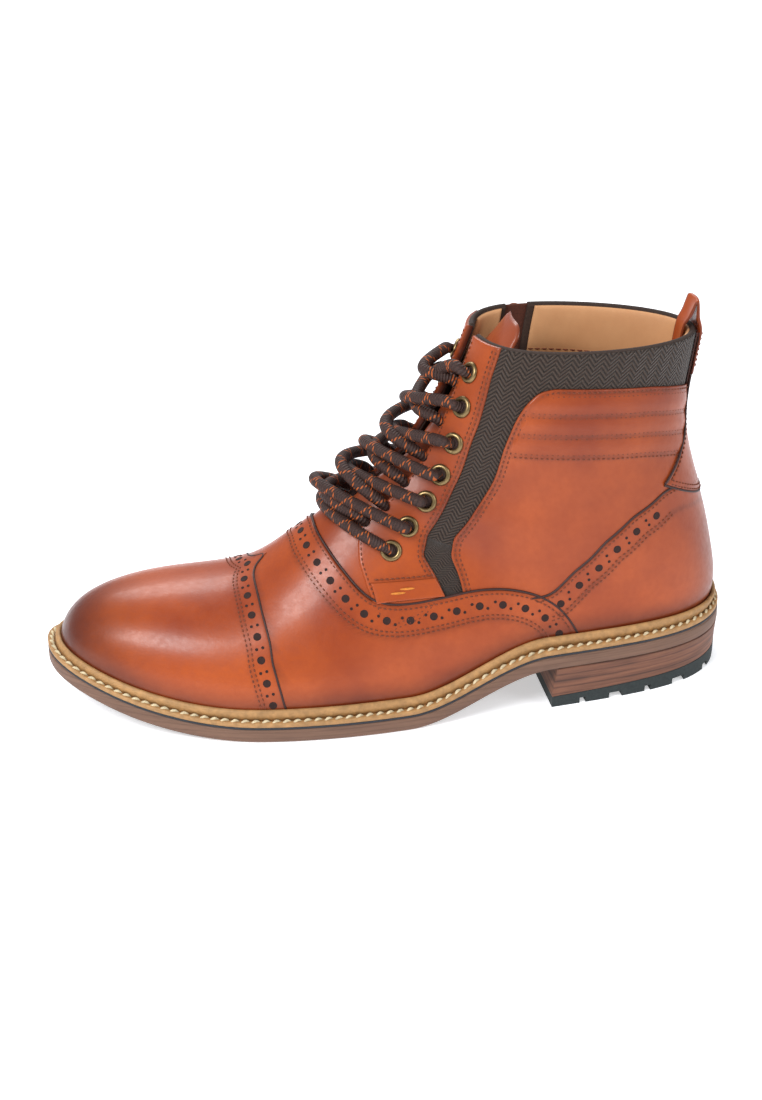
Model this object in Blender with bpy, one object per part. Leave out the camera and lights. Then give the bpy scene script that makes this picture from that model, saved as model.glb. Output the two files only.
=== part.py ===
"""A lace-up ankle boot for the left foot, with a toe cap, a side zip and a stacked heel.

Lengths are in metres. +X points to the toe, +Y to the outer side of the foot and +Z up.
The origin is on the floor under the middle of the heel.

The upper is one function of two numbers: a station, which runs from the collar down the
shaft and along the foot to the toe, and an angle, which runs from the ridge at the front
round one side to the back seam or the sole. Every other leather piece, the tongue, the zip
and the outline of the sole take their place from that function.
"""

import math

import bmesh
import bpy
import numpy as np
from mathutils import Matrix, Vector

# Driving sizes of the last and the shaft
LAST_LENGTH = 0.286
BALL_WIDTH = 0.094
SHAFT_WIDTH = 0.070
SHAFT_HEIGHT = 0.125
INSTEP_HEIGHT = 0.074
TOE_ROUNDING = 2.2
TOE_START_SHARE = 0.76

# Driving sizes of the sole
HEEL_BLOCK_HEIGHT = 0.0185
HEEL_LENGTH = 0.083
TOE_SPRING = 0.015
OUTSOLE_THICKNESS = 0.0062
MIDSOLE_THICKNESS = 0.0010
WELT_THICKNESS = 0.0021
WELT_MARGIN = 0.0070
RIB_HEIGHT = 0.0066

WELT_LEDGE = 0.0042
RIB_SLOPE = 0.0008
RIB_FOOT_RISE = 0.0006
INSOLE_THICKNESS = 0.003
LIFT_HEIGHT = 0.0065
LIFT_WEDGE = 0.0025
HEEL_TAPER = 0.0012
BREAST_SLANT = 0.002
LUG_DEPTH = 0.0026
LUG_REACH = 0.013
NARROW_NOTCH = 0.0022
WIDE_NOTCH = 0.0052
LUG_COUNT = 5
NOTCH_START_SHARE = 0.14
NOTCH_SPAN_SHARE = 0.72
MIDSOLE_INSET = 0.0004
SHANK_START_SHARE = 0.30
FLAT_START_SHARE = 0.515
FLAT_END_SHARE = 0.74
TOE_CURVE = 2.0

# Walls and gaps
UPPER_WALL = 0.0022
OVERLAY_WALL = 0.0011
OVERLAY_GAP = 0.0004
CLEARANCE = 0.0003
TONGUE_THICKNESS = 0.0024
TONGUE_GAP = 0.0022

# Hardware and lace
EYELET_BORE = 0.0050
EYELET_FLANGE = 0.0092
EYELET_BARREL_WALL = 0.0004
EYELET_RIM = 0.0009
EYELET_SIDES = 8
EYELET_STAND = 0.0005
LACE_DIAMETER = 0.0042
LACE_ARCH = 0.0105
LACE_SETBACK = 0.42
LACE_REST = 0.0001
ZIP_SLOT_WIDTH = 0.0105
ZIP_TAPE_THICKNESS = 0.0008
TEETH_WIDTH = 0.0052
TEETH_THICKNESS = 0.0014
TEETH_SINK = 0.0004
SLIDER_WIDTH = 0.0078
SLIDER_LENGTH = 0.0105
SLIDER_THICKNESS = 0.0026
BAIL_WIDTH = 0.0024
BAIL_HEIGHT = 0.0034
BAIL_BAR = 0.0011
PULL_LENGTH = 0.026
PULL_WIDTH = 0.0092
PULL_THICKNESS = 0.0012
PULL_PIN = 0.0014
PULL_START = 0.0052
PULL_ARM = 0.0013
PULL_ROOM = 0.0016
BAIL_REACH = 0.0026
JOIN_SINK = 0.001
ZIP_CUT_REACH = 0.006
LACE_INSET = 0.76
LACE_APPROACH = 0.0055
LACE_HUMP = 0.0018
LACE_BAR_HEIGHT = 0.0045
LOOP_SETBACK = 0.0009
LOOP_CREST = -0.78
LOOP_SPREAD = 0.17
TONGUE_LEAN = 0.009

# The sides, the shift from the heel's end to the origin, and steps of the surface
OUTER, INNER = 1, -1
SCENE_SHIFT = np.array([0.5 * HEEL_LENGTH, 0.0, 0.0])
SINK_AT_TIP = 0.001
SMALL_STEP = 1e-4
EDGE_RISE = 0.0012
SEAM_STEP = 0.035
SHAFT_RINGS = 10
SOLE_RUNGS = 25

# The last's sections, from the collar to the toe. Every ring runs from a front point to a
# back point, which lies under the sole along the foot, where the sole cuts the ring open.
# front_x and back_x are shares of LAST_LENGTH from the heel. front_up and back_up are
# heights above the top of the midsole: shares of SHAFT_HEIGHT on the shaft, of INSTEP_HEIGHT
# on the foot. centre, outer and inner are shares of half of SHAFT_WIDTH or BALL_WIDTH.
# widest is where along the ring it is widest, and fullness squares it off.
COLUMNS = ("front_x", "front_up", "back_x", "back_up", "centre", "outer", "inner",
           "widest", "fullness")
SHAFT_SECTIONS = (
    (0.385, 1.095, 0.056, 1.000, -0.05, 0.87, 0.89, 0.38, 0.02),
    (0.402, 1.015, 0.065, 0.888, -0.03, 0.90, 0.90, 0.40, 0.02),
    (0.427, 0.935, 0.074, 0.760, 0.00, 0.91, 0.91, 0.44, 0.02),
    (0.455, 0.865, 0.070, 0.624, 0.00, 0.92, 0.92, 0.48, 0.02),
    (0.483, 0.805, 0.055, 0.488, 0.00, 0.93, 0.93, 0.53, 0.02),
    (0.510, 0.755, 0.038, 0.352, 0.00, 0.95, 0.94, 0.56, 0.02),
    (0.538, 0.710, 0.025, 0.208, 0.00, 0.98, 0.96, 0.59, 0.03),
    (0.566, 0.665, 0.022, 0.048, 0.00, 0.98, 0.95, 0.61, 0.03),
)
FOOT_SECTIONS = (
    (0.594, 1.030, 0.070, -0.16, 0.00, 0.76, 0.72, 0.62, 0.04),
    (0.626, 0.925, 0.182, -0.24, 0.00, 0.81, 0.71, 0.63, 0.05),
    (0.661, 0.820, 0.315, -0.28, -0.02, 0.89, 0.73, 0.64, 0.05),
    (0.699, 0.710, 0.448, -0.27, -0.05, 0.98, 0.80, 0.66, 0.05),
    (0.741, 0.630, 0.577, -0.25, -0.09, 1.03, 0.88, 0.67, 0.05),
    (0.787, 0.590, 0.699, -0.24, -0.13, 1.01, 0.92, 0.68, 0.05),
    (0.839, 0.565, 0.800, -0.20, -0.16, 0.93, 0.91, 0.68, 0.05),
    (0.895, 0.535, 0.885, -0.17, -0.19, 0.84, 0.86, 0.68, 0.05),
    (0.948, 0.510, 0.945, -0.15, -0.21, 0.77, 0.79, 0.68, 0.05),
    (1.000, 0.490, 1.000, -0.14, -0.23, 0.72, 0.74, 0.68, 0.05),
)


def natural_spline(values):
    """A smooth curve through evenly spaced values, as a function of the row number."""
    values = np.asarray(values, float)
    count = len(values)
    bends = np.zeros(count)
    matrix = 4 * np.eye(count - 2) + np.eye(count - 2, k=1) + np.eye(count - 2, k=-1)
    bends[1:-1] = np.linalg.solve(matrix, 6 * np.diff(values, 2))

    def at(row):
        row = np.asarray(row, float)
        low = np.clip(np.floor(row).astype(int), 0, count - 2)
        b = row - low
        a = 1 - b
        curve = ((a ** 3 - a) * bends[low] + (b ** 3 - b) * bends[low + 1]) / 6
        return a * values[low] + b * values[low + 1] + curve

    return at


def smoothstep(share):
    share = np.clip(share, 0, 1)
    return share * share * (3 - 2 * share)


def sole_lift(x):
    """How far the sole bends up from the floor: under the heel, and at the toe."""
    share = np.asarray(x, float) / LAST_LENGTH
    heel = 1 - smoothstep((share - SHANK_START_SHARE) / (FLAT_START_SHARE - SHANK_START_SHARE))
    toe = np.clip((share - FLAT_END_SHARE) / (1 - FLAT_END_SHARE), 0, None) ** TOE_CURVE
    return HEEL_BLOCK_HEIGHT * heel + TOE_SPRING * toe


def midsole_top(x):
    return sole_lift(x) + OUTSOLE_THICKNESS + MIDSOLE_THICKNESS


def section_columns():
    """The two tables as one list of sections in metres, each column a smooth curve."""
    rows = []
    for table, height, half_width in (
        (SHAFT_SECTIONS, SHAFT_HEIGHT, SHAFT_WIDTH / 2),
        (FOOT_SECTIONS, INSTEP_HEIGHT, BALL_WIDTH / 2),
    ):
        for row in table:
            cell = dict(zip(COLUMNS, row))
            front_x = cell["front_x"] * LAST_LENGTH
            back_x = cell["back_x"] * LAST_LENGTH
            rows.append({
                "front_x": front_x,
                "front_z": midsole_top(front_x) + cell["front_up"] * height,
                "back_x": back_x,
                "back_z": midsole_top(back_x) + cell["back_up"] * height,
                "centre": cell["centre"] * half_width,
                "outer": cell["outer"] * half_width,
                "inner": cell["inner"] * half_width,
                "widest": cell["widest"],
                "fullness": cell["fullness"],
            })
    return {name: natural_spline([row[name] for row in rows]) for name in rows[0]}


SECTION = section_columns()
LAST_STATION = len(SHAFT_SECTIONS) + len(FOOT_SECTIONS) - 1


def toe_rounding(x):
    """1 behind the toe, falling to 0 at its tip like a quarter of a superellipse."""
    start = TOE_START_SHARE * LAST_LENGTH
    share = np.clip((x - start) / (LAST_LENGTH - start), 0, 1)
    return (1 - share ** TOE_ROUNDING) ** (1 / TOE_ROUNDING)


def skin(station, angle, side):
    """The outer face of the upper's wall."""
    station, angle = np.broadcast_arrays(np.asarray(station, float), np.asarray(angle, float))
    value = {name: curve(station) for name, curve in SECTION.items()}
    closing = toe_rounding(value["front_x"])
    tip_z = midsole_top(LAST_LENGTH) - SINK_AT_TIP
    front_z = np.where(closing < 1, tip_z + (value["front_z"] - tip_z) * closing, value["front_z"])
    back_z = np.where(closing < 1, tip_z + (value["back_z"] - tip_z) * closing, value["back_z"])
    along = (1 - np.cos(angle)) / 2
    along = along + 4 * (value["widest"] - 0.5) * along * (1 - along)
    fullness = value["fullness"]
    across = (np.sin(angle) + fullness * np.sin(3 * angle)) / (1 - fullness)
    half_width = np.where(np.asarray(side) > 0, value["outer"], value["inner"]) * closing
    return np.stack([
        value["front_x"] + (value["back_x"] - value["front_x"]) * along,
        value["centre"] + side * half_width * across,
        front_z + (back_z - front_z) * along,
    ], axis=-1)


def skin_normal(station, angle, side):
    """The direction straight out of the upper at a point of its outer face."""
    station = np.clip(station, SMALL_STEP, LAST_STATION - SMALL_STEP)
    down = skin(station + SMALL_STEP, angle, side) - skin(station - SMALL_STEP, angle, side)
    round_side = skin(station, angle + SMALL_STEP, side) - skin(station, angle - SMALL_STEP, side)
    normal = np.cross(down, round_side) * np.asarray(side)[..., None]
    return normal / np.linalg.norm(normal, axis=-1, keepdims=True)


def lifted_skin(station, angle, side, lift):
    """A point at that height over the outer face, or inside it where lift is negative."""
    side = np.broadcast_to(side, np.broadcast(station, angle).shape)
    out = skin_normal(station, angle, side)
    return skin(station, angle, side) + np.asarray(lift)[..., None] * out


def falling_root(function, low, high, steps=40):
    """Where a function that falls from above zero to below it crosses zero, by halving."""
    low, high = np.array(low, float), np.array(high, float)
    for _ in range(steps):
        middle = (low + high) / 2
        above = function(middle) > 0
        low = np.where(above, middle, low)
        high = np.where(above, high, middle)
    return (low + high) / 2


def sole_angle(station, side, up=0.0):
    """The angle where a ring reaches the midsole, or half a turn where it never does."""
    station = np.asarray(station, float)

    def over_midsole(angle):
        point = skin(station, angle, side)
        return point[..., 2] - midsole_top(point[..., 0]) - up

    found = falling_root(over_midsole, np.zeros_like(station), np.full_like(station, np.pi))
    return np.where(over_midsole(np.full_like(station, np.pi)) > 0, np.pi, found)


def back_seam_station(up=0.0):
    """The station whose back point is at that height over the midsole."""
    def over_midsole(station):
        point = skin(station, np.pi, OUTER)
        return point[..., 2] - midsole_top(point[..., 0]) - up

    return float(falling_root(over_midsole, len(SHAFT_SECTIONS) - 3.0, len(SHAFT_SECTIONS) + 1.0))


def toe_station(up=0.0):
    """The last station whose ridge is still over that height, near the tip of the toe."""
    def over_midsole(station):
        point = skin(station, 0.0, OUTER)
        return point[..., 2] - midsole_top(point[..., 0]) - up

    return float(falling_root(over_midsole, LAST_STATION - 1.0, LAST_STATION - 1e-3))


# Where the pieces of leather are cut. A seam is a short table of points on the upper:
# station is as in the sections, and around is the angle as a share of half a turn.
LAST_ROW = LAST_STATION - 0.01
COLLAR_STATION = 0.05
THROAT_EDGE = (
    (0.0, 0.060), (1.0, 0.064), (2.0, 0.095), (3.0, 0.125), (4.5, 0.133), (6.0, 0.137),
    (7.2, 0.134), (8.0, 0.126), (8.5, 0.095), (8.8, 0.0),
)
WING_SEAM = (
    (8.86, 0.000), (9.14, 0.099), (9.50, 0.188), (9.72, 0.245), (9.78, 0.290), (9.47, 0.323),
    (8.85, 0.343), (8.27, 0.362), (7.92, 0.394), (7.78, 0.440), (7.90, 0.487), (8.24, 0.545),
    (8.59, 0.611),
)
CAP_SEAM = (
    (11.12, 0.000), (11.46, 0.050), (11.62, 0.110), (11.86, 0.180), (12.08, 0.250),
    (12.29, 0.306), (12.42, 0.370), (12.55, 0.450), (12.60, 0.520),
)
EYESTAY_FRONT = (
    (0.10, 0.066), (1.0, 0.070), (2.0, 0.101), (3.0, 0.131), (4.5, 0.139), (6.0, 0.143),
    (7.2, 0.140), (8.0, 0.136), (8.5, 0.152), (9.0, 0.190), (9.50, 0.268),
)
EYESTAY_REAR = (
    (0.10, 0.240), (1.0, 0.234), (2.4, 0.248), (4.8, 0.242), (7.2, 0.238), (7.9, 0.254),
    (8.62, 0.326),
)
STRIP_FRONT = (
    (8.54, 0.334), (7.86, 0.262), (7.2, 0.246), (4.8, 0.250), (2.4, 0.256), (1.0, 0.243),
    (0.10, 0.249), (0.10, 0.36), (0.10, 0.44), (0.10, 0.56), (0.10, 0.70), (0.10, 0.82),
    (0.10, 0.935),
)
STRIP_REAR = (
    (8.42, 0.346), (7.60, 0.288), (6.96, 0.276), (5.67, 0.293), (3.11, 0.337), (2.08, 0.356),
    (1.60, 0.376), (1.22, 0.410), (1.09, 0.455), (1.12, 0.586), (1.21, 0.726), (1.38, 0.83),
    (1.58, 0.935),
)
COUNTER_FRONT = ((7.72, 0.452), (7.83, 0.496), (8.15, 0.554), (8.48, 0.620))
COUNTER_TOP = (
    (7.72, 0.452), (7.40, 0.455), (6.87, 0.468), (5.80, 0.525), (4.85, 0.608), (4.14, 0.715),
    (4.36, 0.79), (4.62, 0.87), (4.70, 1.0),
)
BACKSTAY_FRONT = (
    (0.10, 0.945), (1.6, 0.945), (2.65, 0.914), (3.38, 0.812), (3.92, 0.728),
)
BACKSTAY_FOOT = ((3.92, 0.728), (4.14, 0.80), (4.40, 0.87), (4.50, 1.0))
EYELETS = (
    (1.11, 0.130), (2.06, 0.163), (3.19, 0.194), (4.48, 0.198), (5.84, 0.201), (7.17, 0.201),
    (8.19, 0.208),
)
ZIP_LINE = (
    (-0.5, 0.420), (1.6, 0.421), (3.0, 0.412), (4.6, 0.383), (6.3, 0.369), (7.4, 0.374),
    (8.2, 0.404), (9.2, 0.486),
)
ZIP_FOOT_STATION = 8.95
SLIDER_STATION = 0.75
TONGUE_EDGE = ((-0.7, 0.20), (1.0, 0.21), (3.0, 0.24), (6.0, 0.25), (8.4, 0.24), (9.2, 0.18))


def along_table(table, share):
    """A smooth curve through the table's points. Returns stations and angles."""
    rows = np.array(table, float)
    step = np.hypot(np.diff(rows[:, 0]), 12 * np.diff(rows[:, 1]))
    place = np.concatenate([[0], np.cumsum(step)]) / step.sum()
    share = np.asarray(share, float)
    return np.interp(share, place, rows[:, 0]), np.interp(share, place, rows[:, 1]) * np.pi


def angle_at(table, station):
    rows = np.array(table, float)
    return np.interp(station, rows[:, 0], rows[:, 1]) * np.pi


def signed_skin(station, turn, lift):
    """The skin with both sides in one angle: outer side where turn is above zero."""
    side = np.where(turn >= 0, OUTER, INNER)
    return lifted_skin(station, np.abs(turn), side, lift)


def material(name, colour, roughness, metallic=0.0):
    made = bpy.data.materials.new(name)
    made.use_nodes = True
    shader = made.node_tree.nodes["Principled BSDF"]
    shader.inputs["Base Color"].default_value = (*colour, 1)
    shader.inputs["Roughness"].default_value = roughness
    shader.inputs["Metallic"].default_value = metallic
    return made


def clear_scene():
    for old in list(bpy.data.objects):
        bpy.data.objects.remove(old, do_unlink=True)
    for old in list(bpy.data.collections):
        bpy.data.collections.remove(old)


def new_collection(name):
    made = bpy.data.collections.new(name)
    bpy.context.scene.collection.children.link(made)
    return made


def add_object(name, mesh, finish, collection, place=(0, 0, 0)):
    made = bpy.data.objects.new(name, mesh)
    made.location = place
    if finish:
        mesh.materials.append(finish)
    collection.objects.link(made)
    return made


def mesh_of(name, points, faces, smooth=True):
    """A mesh whose faces all point outwards. Repeated corners of a face are dropped."""
    mesh = bpy.data.meshes.new(name)
    clean = []
    for face in faces:
        corners = [int(v) for i, v in enumerate(face) if v != face[i - 1]]
        if len(set(corners)) >= 3:
            clean.append(corners)
    mesh.from_pydata((np.asarray(points) - SCENE_SHIFT).tolist(), [], clean)
    shape = bmesh.new()
    shape.from_mesh(mesh)
    loose = [v for v in shape.verts if not v.link_faces]
    bmesh.ops.delete(shape, geom=loose, context="VERTS")
    bmesh.ops.recalc_face_normals(shape, faces=shape.faces)
    shape.to_mesh(mesh)
    shape.free()
    if smooth:
        mesh.shade_smooth()
        mesh.set_sharp_from_angle(angle=math.radians(40))
    return mesh


def grid_quads(index):
    """The faces of a grid of vertex numbers, all turned the same way."""
    return np.stack([index[:-1, :-1], index[1:, :-1], index[1:, 1:], index[:-1, 1:]],
                    axis=-1).reshape(-1, 4)


def closed_wall(outside, inside, quads):
    """Two like skins and the rim between them: points and faces of one closed solid."""
    count = len(outside)
    starts = quads.reshape(-1)
    ends = np.roll(quads, -1, axis=1).reshape(-1)
    directed = {(int(a), int(b)) for a, b in zip(starts, ends) if a != b}
    rim = [(a, b, b + count, a + count) for a, b in directed if (b, a) not in directed]
    faces = quads.tolist() + (quads[:, ::-1] + count).tolist() + sorted(rim)
    return np.concatenate([outside, inside]), faces


def patch_solid(name, station, turn, low, high, tip=False):
    """A piece of leather: one grid of stations and signed angles between two lifts."""
    outside = signed_skin(station, turn, high)
    inside = signed_skin(station, turn, low)
    index = np.arange(station.size).reshape(station.shape)
    quads = grid_quads(index)
    if tip:
        quads = np.concatenate([quads, tip_quads(index[-1])])
    points, faces = closed_wall(outside.reshape(-1, 3), inside.reshape(-1, 3), quads)
    return mesh_of(name, points, faces)


def between(first, second, rows):
    """A grid ruled from one line of (station, angle) to another."""
    share = np.asarray(rows)[:, None]
    return ((1 - share) * first[0] + share * second[0],
            (1 - share) * first[1] + share * second[1])


def joined_sides(outer, inner):
    """One grid from two half grids that share their first column, the ridge."""
    return (np.concatenate([inner[0][:, :0:-1], outer[0]], axis=1),
            np.concatenate([-inner[1][:, :0:-1], outer[1]], axis=1))


def joined_behind(outer, inner):
    """One grid from two half grids that share their last column, the back seam."""
    return (np.concatenate([outer[0], inner[0][:, -2::-1]], axis=1),
            np.concatenate([outer[1], -inner[1][:, -2::-1]], axis=1))


def down_to_sole(side, station, angle, up):
    """Stretches a half grid so that its last column lies at that height over the midsole."""
    reach = sole_angle(station[:, -1], side, up)
    share = np.linspace(0, 1, station.shape[1]) ** 2
    factor = 1 + share * (reach / angle[:, -1] - 1)[:, None]
    return station, angle * factor


def cap_line(share, by):
    station, angle = along_table(CAP_SEAM, share)
    return station + by, angle


def toe_cap_mesh(low, high):
    """The cap over the toe, closed across its tip."""
    across = np.linspace(0, 1, 11)
    rows = 1 - (1 - np.linspace(0, 1, 10)) ** 1.7
    seam = cap_line(across, SEAM_STEP)
    halves = []
    for side in (OUTER, INNER):
        tip = (np.full_like(across, LAST_ROW), across * sole_angle(np.array(LAST_ROW), side))
        halves.append(down_to_sole(side, *between(seam, tip, rows), EDGE_RISE))
    return patch_solid("toe_cap", *joined_sides(*halves), low, high, tip=True)


def tip_quads(last_row):
    """Faces across the last ring at the toe, from one side to the other."""
    middle = len(last_row) // 2
    inner, outer = last_row[middle::-1], last_row[middle:]
    return np.stack([inner[:-1], inner[1:], outer[1:], outer[:-1]], axis=-1)


def vamp_mesh(low, high):
    """The forepart, from the wing seam under the lacing to the toe cap."""
    across = np.linspace(0, 1, 12)
    seam = cap_line(across, -SEAM_STEP)
    wing = along_table(WING_SEAM, across)
    rows = np.linspace(0, 1, 9)
    halves = [down_to_sole(side, *between(wing, seam, rows), EDGE_RISE)
              for side in (OUTER, INNER)]
    return patch_solid("vamp", *joined_sides(*halves), low, high)


def edge_line(side, up, share):
    """The line at that height over the midsole, from the back seam to the tip of the toe."""
    share = np.asarray(share, float)
    start = back_seam_station(up)
    station = start + (toe_station(up) - start) * (1 - np.cos(np.pi * share)) / 2
    return station, np.where(share <= 0, np.pi, sole_angle(station, side, up))


def counter_mesh(low, high):
    """The heel counter, from the diagonal seam to the sole, round the back of the heel."""
    across = np.linspace(0, 1, 13)
    rows = np.linspace(0, 1, 7)
    top = along_table(COUNTER_TOP, across)
    front = along_table(COUNTER_FRONT, rows)
    start = back_seam_station(EDGE_RISE)
    foot_station = start + (COUNTER_FRONT[-1][0] - start) * (1 - across) ** 1.8
    halves = []
    for side in (OUTER, INNER):
        foot_angle = np.where(across >= 1, np.pi, sole_angle(foot_station, side, EDGE_RISE))
        station, angle = between(top, (foot_station, foot_angle), rows)
        fade = (1 - across)[None, :] ** 2
        station = station + fade * (front[0] - station[:, 0])[:, None]
        angle = angle + fade * (front[1] - angle[:, 0])[:, None]
        angle[-1] = foot_angle
        halves.append((station, angle))
    return patch_solid("counter", *joined_behind(*halves), low, high)


def backstay_mesh(low, high):
    """The strip over the back seam, with its wider foot over the counter's top edge."""
    rows = np.linspace(0, 1, 9)
    across = np.linspace(0, 1, 7)
    front = along_table(BACKSTAY_FRONT, rows)
    middle = np.linspace(BACKSTAY_FRONT[0][0], BACKSTAY_FOOT[-1][0], len(rows))
    seam = (middle, np.full_like(middle, np.pi))
    station, angle = (grid.T for grid in between(front, seam, across))
    station[-1], angle[-1] = along_table(BACKSTAY_FOOT, across)
    half = (station, angle)
    return patch_solid("backstay", *joined_behind(half, half), low, high)


def strip_mesh(name, side, lines, rows, columns, low, high):
    """A strip of leather or cloth between two seams, on one side of the boot."""
    edges = [along_table(line, rows) for line in lines]
    station, angle = (grid.T for grid in between(*edges, np.linspace(0, 1, columns)))
    return patch_solid(name, station, side * angle, low, high)


def angle_for_width(station, angle, side, width):
    """The turn that covers a width measured across the upper."""
    ahead = skin(station, angle + SMALL_STEP, side)
    behind = skin(station, angle - SMALL_STEP, side)
    return width * 2 * SMALL_STEP / np.linalg.norm(ahead - behind, axis=-1)


def zip_rows(last):
    """The upper's rings down to a station near the foot of the zip."""
    rings = upper_stations()
    rings = rings[rings < last - 0.05]
    return np.concatenate([[COLLAR_STATION], rings[1:], [last]])


def zip_strip(name, station, width, columns, low, high):
    """A strip centred on the zip's line, on the inner side."""
    middle = angle_at(ZIP_LINE, station)
    half = angle_for_width(station, middle, INNER, width / 2)
    share = np.linspace(-1, 1, columns)[None, :]
    turn = -(middle[:, None] + share * half[:, None])
    return patch_solid(name, np.repeat(station[:, None], columns, axis=1), turn, low, high)


def upper_stations():
    """The upper's rings: evenly down the shaft, then one for each rung of the sole."""
    shaft = np.linspace(0, back_seam_station(EDGE_RISE), SHAFT_RINGS)
    share = np.linspace(0, 1, SOLE_RUNGS)[1:-1]
    foot = edge_line(OUTER, EDGE_RISE, share)[0]
    foot[np.argmin(np.abs(foot - ZIP_FOOT_STATION))] = ZIP_FOOT_STATION
    return np.concatenate([shaft, foot, [LAST_ROW]])


def slot_angles(station):
    """Both edges of the zip's slot, on the inner side."""
    middle = angle_at(ZIP_LINE, station)
    half = angle_for_width(station, middle, INNER, ZIP_SLOT_WIDTH / 2)
    return middle - half, middle + half


def side_angles(side, station, start, reach):
    """The angles of one side's columns. On the inner side two of them edge the zip's slot."""
    if side == OUTER:
        return start[:, None] + (reach - start)[:, None] * np.linspace(0, 1, 11)[None, :]
    at_foot = int(np.argmin(np.abs(station - ZIP_FOOT_STATION)))
    front, rear = slot_angles(np.minimum(station, ZIP_FOOT_STATION))
    scale = np.where(station > ZIP_FOOT_STATION, reach / reach[at_foot], 1.0)
    edges = [start, front * scale, rear * scale, reach]
    parts = [edges[0][:, None] + (edges[1] - edges[0])[:, None] * np.linspace(0, 1, 4),
             edges[2][:, None] + (edges[3] - edges[2])[:, None] * np.linspace(0, 1, 7)]
    return np.concatenate(parts, axis=1)


def upper_mesh():
    """The whole upper as one wall, open at the collar, the throat, the zip and the sole."""
    station = upper_stations()
    throat_end = THROAT_EDGE[-1][0]
    outside, inside, index = [], [], []
    for number, side in enumerate((OUTER, INNER)):
        start = angle_at(THROAT_EDGE, station)
        reach = sole_angle(station, side, EDGE_RISE)
        reach[:SHAFT_RINGS] = np.pi
        turn = side * np.maximum(side_angles(side, station, start, reach), 1e-9)
        rings = np.repeat(station[:, None], turn.shape[1], axis=1)
        skin_points = signed_skin(rings, turn, 0.0)
        wall_points = signed_skin(rings, turn, -UPPER_WALL)
        wall_points[SHAFT_RINGS:, -1, 2] = skin_points[SHAFT_RINGS:, -1, 2]
        outside.append(skin_points.reshape(-1, 3))
        inside.append(wall_points.reshape(-1, 3))
        index.append(np.arange(turn.size).reshape(turn.shape) + number * turn.size)
    ridge = station >= throat_end - 1e-9
    index[1][ridge, 0] = index[0][ridge, 0]
    index[1][:SHAFT_RINGS, -1] = index[0][:SHAFT_RINGS, -1]
    tip = np.concatenate([index[1][-1, :0:-1], index[0][-1]])
    inner_quads = grid_quads(index[1])[:, ::-1].reshape(len(station) - 1, -1, 4)
    below_zip = station[:-1] >= ZIP_FOOT_STATION
    kept = np.ones(inner_quads.shape[:2], bool)
    kept[~below_zip, 3] = False
    quads = np.concatenate([grid_quads(index[0]), inner_quads[kept], tip_quads(tip)])
    points, faces = closed_wall(np.concatenate(outside), np.concatenate(inside), quads)
    return mesh_of("upper", points, faces)


def plan_loops(margin, samples=SOLE_RUNGS):
    """The sole's outline: the feather line of each side, moved outwards in plan."""
    share = np.linspace(0, 1, samples)
    lines = []
    for side in (OUTER, INNER):
        station, angle = edge_line(side, 0.0, share)
        lines.append(skin(station, angle, side)[:, :2])
    lines[1][0], lines[1][-1] = lines[0][0], lines[0][-1]
    ring = np.concatenate([lines[0], lines[1][-2:0:-1]])
    step = np.roll(ring, -1, axis=0) - np.roll(ring, 1, axis=0)
    out = np.stack([-step[:, 1], step[:, 0]], axis=1)
    ring = ring + margin * out / np.linalg.norm(out, axis=1, keepdims=True)
    inner = np.concatenate([ring[:1], ring[:samples - 2:-1]])
    return ring[:samples], inner


def up_to_breast(loops, breast, samples=13):
    """The part of an outline behind the heel's breast, with its last rung on the breast."""
    cut = []
    for line in loops:
        place = np.linspace(0, 1, len(line))
        end = np.interp(breast, line[:, 0], place)
        share = end * np.linspace(0, 1, samples)
        cut.append(np.stack([np.interp(share, place, line[:, 0]),
                             np.interp(share, place, line[:, 1])], axis=1))
    return cut


def slab_mesh(name, bottom_loops, top_loops, bottom_height, top_height):
    """A layer of the sole: rungs from the outer edge to the inner edge, above and below."""
    points, index = [], []
    for loops, height in ((bottom_loops, bottom_height), (top_loops, top_height)):
        for line in loops:
            index.append(np.arange(len(line)) + sum(len(part) for part in points))
            points.append(np.column_stack([line, height(line[:, 0])]))
    low_outer, low_inner, high_outer, high_inner = index
    low_inner[0], high_inner[0] = low_outer[0], high_outer[0]
    closed_front = np.allclose(bottom_loops[0][-1], bottom_loops[1][-1])
    if closed_front:
        low_inner[-1], high_inner[-1] = low_outer[-1], high_outer[-1]
    rungs = [(low_outer, low_inner), (high_inner, high_outer), (high_outer, low_outer),
             (low_inner, high_inner)]
    faces = [np.stack([a[:-1], a[1:], b[1:], b[:-1]], axis=-1) for a, b in rungs]
    if not closed_front:
        faces.append(np.array([[low_outer[-1], high_outer[-1], high_inner[-1], low_inner[-1]]]))
    return mesh_of(name, np.concatenate(points), np.concatenate(faces))


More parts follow.
